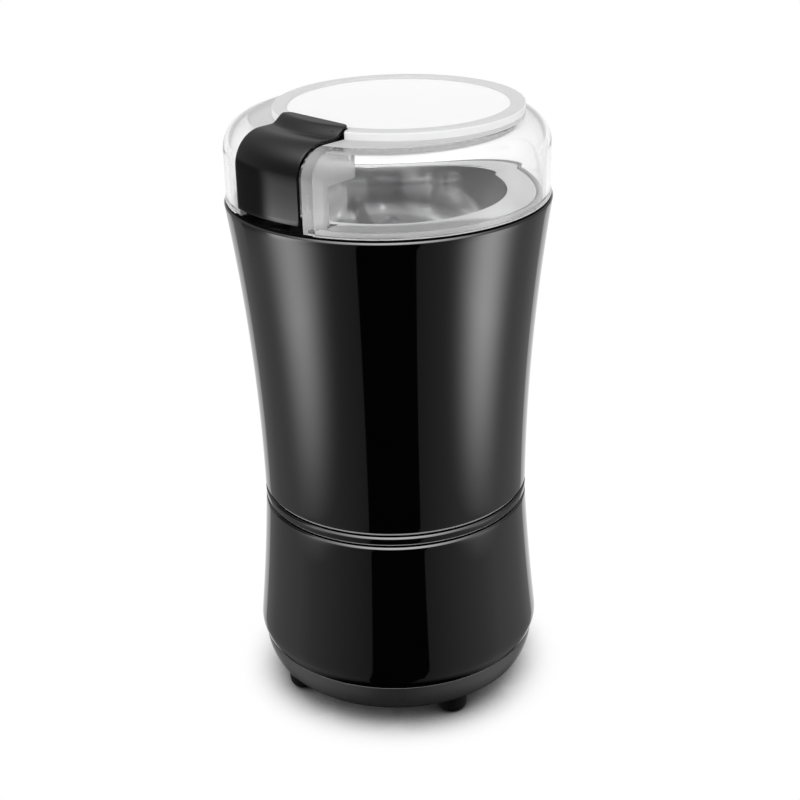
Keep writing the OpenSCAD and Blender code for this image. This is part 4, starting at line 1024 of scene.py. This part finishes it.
# %% Grinding bowl
bowl_low, bowl_high = size_of("grinding_bowl")
PLUNGER_HEAD_R = 2.4
plunger_y = -size_of("switch_plunger")[0].y - PLUNGER_HEAD_R
BOWL_TO_PLUNGER = 4.7
FLANGE_T = 0.8
NARROW_FLANGE_W = 2.0
BOWL_T = 0.6
BOWL_FILLET = 9.0
SHAFT_HOLE_R = 7.2
bowl_r = plunger_y - BOWL_TO_PLUNGER
flange_r = bowl_high.x
bowl = turned("bowl_cup", [
    (SHAFT_HOLE_R, bowl_low.z + BOWL_T, 0),
    (bowl_r, bowl_low.z + BOWL_T, BOWL_FILLET),
    (bowl_r, bowl_high.z, 0.7),
    (flange_r, bowl_high.z, 0.38),
    (flange_r, bowl_high.z - FLANGE_T, 0.38),
    (bowl_r + BOWL_T, bowl_high.z - FLANGE_T, 0.3),
    (bowl_r + BOWL_T, bowl_low.z, BOWL_FILLET + BOWL_T),
    (SHAFT_HOLE_R, bowl_low.z, 0),
], bowl_steel, segments=160, steps=12)
tell(bowl)

# %% The notch in the bowl's flange
button_low, button_high = size_of("press_button")
button_half = button_high.x
BUTTON_GAP = 0.4
POCKET_WALL = 1.6
NOTCH_FROM, NOTCH_TO = -60, -20
notch_half = button_half + BUTTON_GAP + POCKET_WALL + 0.3
notch_end = bowl_r + BOWL_T + NARROW_FLANGE_W


def rectangle(x0, x1, y0, y1):
    return [(x0, y0), (x1, y0), (x1, y1), (x0, y1)]


notch_low = bowl_high.z - FLANGE_T - 0.2
notch_outline = rectangle(-notch_half, notch_half, NOTCH_FROM, NOTCH_TO)
notch = prism("notch", notch_outline, notch_low, bowl_high.z + 1, bowl_steel)
narrow_flange = rod("notch_keep", notch_end, deck_z - 3, deck_z + 4, bowl_steel, segments=160)
carve(bowl, carve(notch, narrow_flange))
dress(bowl, "base", "bowl_steel", "grinding_bowl")

# %% [markdown]
# ## The deck
# The deck's edge is the black line under the lid. Inside that line the photo shows no black at all, so
# the flat that the lid stands on and the low collar inside it get a pale satin finish. The shape is the
# frame's own part, copied and merged; only the finish differs from face to face.

# %% The deck with a pale seat
deck = as_object("deck_holder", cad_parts["bowl_holder"].data.copy())
tidy(deck.data)
paint(deck.data, deck_black, seat_white)
for face in deck.data.polygons:
    spot_mm = face.center / MM
    by_switch = abs(spot_mm.x) < notch_half and spot_mm.y < 0
    on_top = spot_mm.z > deck_z - 0.05 and spot_mm.xy.length < lid_r + 0.15
    face.material_index = 1 if on_top and not by_switch else 0
dress(deck, "base", "deck_black", "bowl_holder")

# %% [markdown]
# ## The clear lid
# The lid is a cup turned upside down with a round shoulder, and a raised round top that sits a little
# behind the axis. At the front a stepped pocket is let in for the button. Each of these is a turned or
# drawn block, and they are joined and cut as solids, because a clear wall needs a true inside and outside
# to bend the light.

# %% Lid: wall, shoulder and raised top
LID_WALL = 2.2
SHOULDER_R = 8.2
PLINTH_H = 2.3
PLINTH_OFF = 4.9
PLINTH_EDGE = 5.55
LIP_W = 4.15
DISH_D = 0.8
plinth_r = lid_r - PLINTH_OFF - PLINTH_EDGE
window_r = plinth_r - LIP_W
step_z = lid_z - PLINTH_H
window_z = lid_z - DISH_D
lid = rod("lid_cup", lid_r, deck_z + TOUCH, step_z, clear_lid, (0.3, SHOULDER_R), segments=160, steps=16)
plinth = turned("lid_top", [
    (0, step_z - 3, 0),
    (plinth_r, step_z - 3, 0),
    (plinth_r, lid_z, 0.7),
    (window_r, lid_z, 0.5),
    (window_r, window_z, 0.3),
    (0, window_z, 0),
], clear_lid, segments=160, at=(0, PLINTH_OFF))
carve(lid, plinth, "UNION")
tell(lid)

# %% Lid: pocket walls and hollow
POCKET_ROUND = 3.0
POCKET_BACK_ROUND = 1.0
POCKET_TO_PLUNGER = 2.2
POCKET_FOOT = 1.1
pocket_half = button_half + BUTTON_GAP
BUTTON_REACH = 20.5
button_end = lid_r - BUTTON_REACH
pocket_end = button_end - BUTTON_GAP
pocket_back = plunger_y - POCKET_TO_PLUNGER
shelf_z = size_of("button_spring")[0].z - 0.1
FAR = 80.0


def strip_block(name, half, end, rounding, z0, z1, steps=6):
    """An upright block that comes in from the front and ends at y = -end in two rounded corners."""
    outline = [(-half, -FAR), (half, -FAR)]
    for sign, start in ((1, 0), (-1, 90)):
        for k in range(steps + 1):
            a = math.radians(start + 90 * k / steps)
            x = sign * (half - rounding) + rounding * math.cos(a)
            outline.append((x, -end - rounding + rounding * math.sin(a)))
    return prism(name, outline, z0, z1, clear_lid)


def pocket(w, low, high):
    """The stepped pocket, grown by w to give its walls."""
    half = pocket_half + w
    deep = strip_block("pocket_deep", half, pocket_back - w, POCKET_BACK_ROUND + w, low, high)
    shallow = strip_block("pocket_shelf", half, pocket_end - w, POCKET_ROUND + w, shelf_z - w, high)
    return carve(deep, shallow, "UNION")


lid_hollow = rod("lid_hollow", lid_r - LID_WALL, deck_z - OVERSHOOT, step_z - LID_WALL, clear_lid,
                 (0, SHOULDER_R - LID_WALL), segments=160, steps=16)
top_hollow = rod("top_hollow", window_r - 0.1, step_z - 6, window_z - LID_WALL, clear_lid, (0, 0.5),
                 segments=160, steps=5, at=(0, PLINTH_OFF))
carve(lid_hollow, top_hollow, "UNION")
carve(lid_hollow, pocket(POCKET_WALL, deck_z + POCKET_FOOT, lid_z + OVERSHOOT))
carve(lid, lid_hollow)
carve(lid, pocket(0, deck_z - OVERSHOOT, lid_z + OVERSHOOT))
tell(lid)

# %% Lid: catches, spring seat and hinge holes
hinge_low, hinge_high = size_of("hinge_pin")
hinge = (hinge_low + hinge_high) / 2
hinge_r = (hinge_high.z - hinge_low.z) / 2
spring_low, spring_high = size_of("button_spring")
spring_y = (spring_low.y + spring_high.y) / 2
SEAT_R = 1.3
SEAT_H = 1.2
SEAT_EDGES = (0.2, 0.2)


def crosswise(obj, y, z):
    """Lays a turned piece down so that its axis runs along X at (y, z)."""
    obj.data.transform(Matrix.Translation((0, y * MM, z * MM)) @ Matrix.Rotation(math.pi / 2, 4, "Y"))
    return obj


catch_points = [v.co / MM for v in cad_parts["lid_shell"].data.vertices if v.co.z / MM < deck_z - 1]
catch_x = [f(abs(c.x) for c in catch_points) for f in (min, max)]
catch_y = [f(c.y for c in catch_points) for f in (min, max)]
for sign in (-1, 1):
    x0, x1 = sorted(sign * x for x in (catch_x[0] + TOUCH, catch_x[1] - TOUCH))
    carve(lid, prism("catch", rectangle(x0, x1, *catch_y), lid_low.z, deck_z + 2.1, clear_lid), "UNION")
seat = rod("spring_seat", SEAT_R, shelf_z - 0.5, shelf_z + SEAT_H, clear_lid, SEAT_EDGES, at=(0, spring_y))
carve(lid, seat, "UNION")
hole_from, hole_to = hinge_low.x - HOLE_CLEAR, hinge_high.x + HOLE_CLEAR
hinge_hole = rod("hinge_hole", hinge_r + PIN_CLEAR, hole_from, hole_to, clear_lid)
carve(lid, crosswise(hinge_hole, hinge.y, hinge.z))
tell(lid)

# %% Lid: the matt window, the satin lip and the satin walls
pocket_out = pocket_half + POCKET_WALL
paint(lid.data, clear_lid, matt_window, satin_lip, satin_wall)
for face in lid.data.polygons:
    spot_mm = face.center / MM
    from_top = math.hypot(spot_mm.x, spot_mm.y - PLINTH_OFF)
    on_window = from_top < window_r and face.normal.z > 0.9 and abs(spot_mm.z - lid_z + DISH_D) < 0.2
    on_lip = window_r - 0.6 < from_top < plinth_r + 0.1 and spot_mm.z > max(step_z, window_z) + 0.02
    on_side = plinth_r - 0.1 < from_top < plinth_r + 0.1 and spot_mm.z > step_z + 0.02
    on_side = on_side or from_top < window_r + 0.2 and step_z - LID_WALL - 0.1 < spot_mm.z < window_z - 0.2
    in_pocket = abs(face.normal.x) > 0.5 and pocket_half - 0.1 < abs(spot_mm.x) < pocket_out + 0.1
    in_pocket = in_pocket and spot_mm.y < -pocket_end and spot_mm.z < step_z
    on_step = face.normal.z > 0.9 and abs(spot_mm.z - step_z) < 0.05
    face.material_index = 1 if on_window or on_side else 2 if on_lip else 3 if in_pocket or on_step else 0
dress(lid, "lid", "clear_lid", "lid_shell")

# %% [markdown]
# ## The press button
# The button is a strip of satin black plastic that follows the lid's skin a little proud of it: up the
# wall, over the shoulder, and with an S-step onto the raised top, where it ends in a tongue. Its skin is
# laid out as a grid: one direction runs along that path, the other across the strip. Solidify gives it
# its wall and Bevel its edges.

# %% Button: the path of its skin
BUTTON_PROUD = 0.9
BUTTON_LOW = 2.4
STEP_RUN = 4.6
SKIN_T = 1.2
SKIN_EDGE = 0.45
face_r = lid_r + BUTTON_PROUD
top_low = step_z + BUTTON_PROUD
top_high = button_high.z


def smooth(t):
    """0 to 1 with a soft start and end."""
    t = min(max(t, 0.0), 1.0)
    return t * t * (3 - 2 * t)


def skin(along, x):
    """A point of the button's skin: along runs 0..1 up the wall, 1..2 over the shoulder, and 2..3 to the
    tongue's end."""
    centre_r = lid_r - SHOULDER_R
    bend = SHOULDER_R + BUTTON_PROUD
    bend_z = step_z - SHOULDER_R
    if along <= 1:
        return -math.sqrt(face_r**2 - x * x), deck_z + BUTTON_LOW + along * (bend_z - deck_z - BUTTON_LOW)
    if along <= 2:
        a = (along - 1) * math.pi / 2
        r = centre_r + bend * math.cos(a)
        return -math.sqrt(r * r - x * x), bend_z + bend * math.sin(a)
    start = -math.sqrt(centre_r**2 - x * x)
    y = start + (along - 2) * (-button_end - start)
    ridge = PLINTH_OFF - math.sqrt((plinth_r + BUTTON_PROUD) ** 2 - x * x)
    return y, top_low + (top_high - top_low) * smooth((y - ridge) / STEP_RUN + 0.5)


print("skin, foot to tongue:", [[round(v, 1) for v in skin(along, 0)] for along in (0, 1, 2, 3)])

# %% Button: the skin as a grid
ACROSS = 32
stations = [i / 8 for i in range(8)] + [1 + i / 14 for i in range(14)] + [2 + i / 30 for i in range(31)]
TONGUE_ROUND = POCKET_ROUND - BUTTON_GAP
points = []
for along in stations:
    to_end = -button_end - skin(along, 0)[0]
    half = button_half
    if along > 2 and to_end < TONGUE_ROUND:
        half -= TONGUE_ROUND - math.sqrt(max(TONGUE_ROUND**2 - (TONGUE_ROUND - to_end) ** 2, 0))
    for x in (half * (2 * k / ACROSS - 1) for k in range(ACROSS + 1)):
        points.append(Vector((x, *skin(along, x))) * MM)
starts = [i * (ACROSS + 1) + k for i in range(len(stations) - 1) for k in range(ACROSS)]
quads = [(i, i + 1, i + ACROSS + 2, i + ACROSS + 1) for i in starts]
cap = as_object("press_button_cap", new_mesh("press_button_cap", points, quads, button_black))
thick = cap.modifiers.new("wall", "SOLIDIFY")
thick.thickness = SKIN_T * MM
thick.offset = -1
edges = cap.modifiers.new("edges", "BEVEL")
edges.width = SKIN_EDGE * MM
edges.segments = 3
edges.limit_method = "ANGLE"
edges.angle_limit = math.radians(50)
plain(cap)
tell(cap)

# %% Button: hinge ears, leg and spring seat
EAR_IN = 3.1
EAR_T = 2.4
EAR_R = hinge_r + 1.1
LEG_R = 1.2
LEG_OFF = 0.9
SEAT_DROP = 3.4
UNDER_SKIN = 1.1
leg_y = -plunger_y - LEG_OFF
leg_top = hinge.z - 2 * LEG_R
wall_low = deck_z + BUTTON_LOW
bits = []
for sign in (-1, 1):
    x = sign * (button_half - EAR_IN)
    x0, x1 = x - EAR_T / 2, x + EAR_T / 2
    outline = rectangle(x0, x1, hinge.y - EAR_R, hinge.y + EAR_R - 0.1)
    ear = prism("ear", outline, hinge.z, top_high - UNDER_SKIN, button_black)
    knuckle = rod("knuckle", EAR_R, x0, x1, button_black, (0.15, 0.15))
    carve(ear, crosswise(knuckle, hinge.y, hinge.z), "UNION")
    ear_bore = rod("ear_bore", hinge_r + PIN_CLEAR, x - OVERSHOOT, x + OVERSHOOT, button_black)
    carve(ear, crosswise(ear_bore, hinge.y, hinge.z))
    bits.append(ear)
bits.append(rod("leg", LEG_R, button_low.z, leg_top, button_black, (1.1, 1.1), at=(0, leg_y)))
web = rectangle(-LEG_R, LEG_R, UNDER_SKIN - face_r, leg_y)
bits.append(prism("leg_web", web, wall_low + 2 * LEG_R, leg_top, button_black))
seat_from, seat_to = top_low - SEAT_DROP, top_low - UNDER_SKIN
bits.append(rod("seat", SEAT_R, seat_from, seat_to, button_black, SEAT_EDGES, at=(0, spring_y)))
dress(together(cap, *bits), "button", "button_black", "press_button")

# %% [markdown]
# ## Springs
# A spring is a round wire on a helix, so one tree makes all of them from the coil's radius, its length,
# its turns and the wire. The springs under the button and under the plunger get shorter as those go down.

# %% The spring tree
coiling, given, result = start_tree("Coil spring", ("Coil Radius", "Float"), ("Length", "Float"),
                                    ("Turns", "Float"), ("Wire", "Float"), ("Finish", "Material"))
helix = add(coiling, "GeometryNodeCurveSpiral", Resolution=24, Rotations=given["Turns"],
            Height=given["Length"], Start_Radius=given["Coil Radius"], End_Radius=given["Coil Radius"])
wire = add(coiling, "GeometryNodeCurvePrimitiveCircle", Resolution=10, Radius=given["Wire"])
coil = add(coiling, "GeometryNodeCurveToMesh", Curve=helix, Profile_Curve=wire, Fill_Caps=True)
end_tree(coiling, coil, given["Finish"], result)
WIRE_R = 0.25


def spring(name, radius, length, turns):
    """An upright spring that stands on height zero."""
    obj = as_object(name, bpy.data.meshes.new(name))
    inputs = {"Coil Radius": radius * MM, "Length": (length - 2 * WIRE_R) * MM, "Turns": float(turns)}
    grow(obj, coiling, Wire=WIRE_R * MM, Finish=spring_steel, **inputs)
    obj.data.transform(Matrix.Translation((0, 0, WIRE_R * MM)))
    return obj


print("tree:", coiling.name, len(coiling.nodes), "nodes")

# %% The two springs under the button and the plunger
for name, node, turns, body, joint, keep in (
    ("button_coil", "button_spring", 5, "lid", "button_press", 0.93),
    ("plunger_coil", "plunger_spring", 6, "base", "plunger_slide", 0.88),
):
    low, high = size_of(node)
    upright = spring(name, (high.x - low.x) / 2 - WIRE_R, high.z - low.z, turns)
    upright.data.transform(Matrix.Translation(Vector((0, (low.y + high.y) / 2, low.z)) * MM))
    dress(upright, body, "spring_steel", node)
    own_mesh(upright)

# %% The pair of brush springs
brush_low, brush_high = size_of("brush_springs")
BRUSH_COIL_R = 1.9
BRUSH_OUT = 20.1
BRUSH_COIL_L = 4.3
brush_z = (brush_low.z + brush_high.z) / 2
one = spring("brush_coils", BRUSH_COIL_R, BRUSH_COIL_L, 4)
one.data.transform(Matrix.Rotation(math.pi / 2, 4, "Y"))
one.data.transform(Matrix.Translation((BRUSH_OUT * MM, 0, brush_z * MM)))
brush_coils = ring_of(one, 2, 0, PILLAR_TURN + 90, spring_steel)
dress(brush_coils, "base", "spring_steel", "brush_springs")

# %% [markdown]
# ## Finishes for the parts that keep their shape
# The blade, the motor and the switch already have their true form in the frame, so they only get a
# finish. A table pairs each finish with the parts that take it.

# %% Finishes on the frame's own parts
finish_of = {
    rubber_black: ("shaft_seal", "motor_dampers"),
    zinc_screw: ("motor_screws", "motor_bolts", "switch_screws"),
    bracket_metal: ("upper_bracket", "switch_bracket", "thrust_washers"),
    bracket_plastic: ("lower_bracket", "brush_caps", "microswitch", "cooling_fan"),
    bronze: ("upper_bearing", "lower_bearing", "brush_tubes"),
    lamination: ("stator_core", "armature_core"),
    winding_copper: ("field_coils", "armature_windings", "commutator"),
    carbon: ("carbon_brushes",),
    shaft_steel: ("drive_shaft", "hinge_pin", "blade_nut"),
    blade_steel: ("grinding_blade",),
    white_plastic: ("switch_plunger", "switch_nub"),
}
for material, names in finish_of.items():
    for name in names:
        paint(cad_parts[name].data, material)
print("finished parts:", sum(len(names) for names in finish_of.values()))

# %% [markdown]
# ## The last step
# The size of the dressed object is kept beside the frame's own size, so that the two can be compared.

# %% Sizes and finish
visual_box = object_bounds()
for title, corners in (("cad", cad_box), ("visual", visual_box)):
    print(title, "box", [[round(x, 4) for x in p] for p in corners])
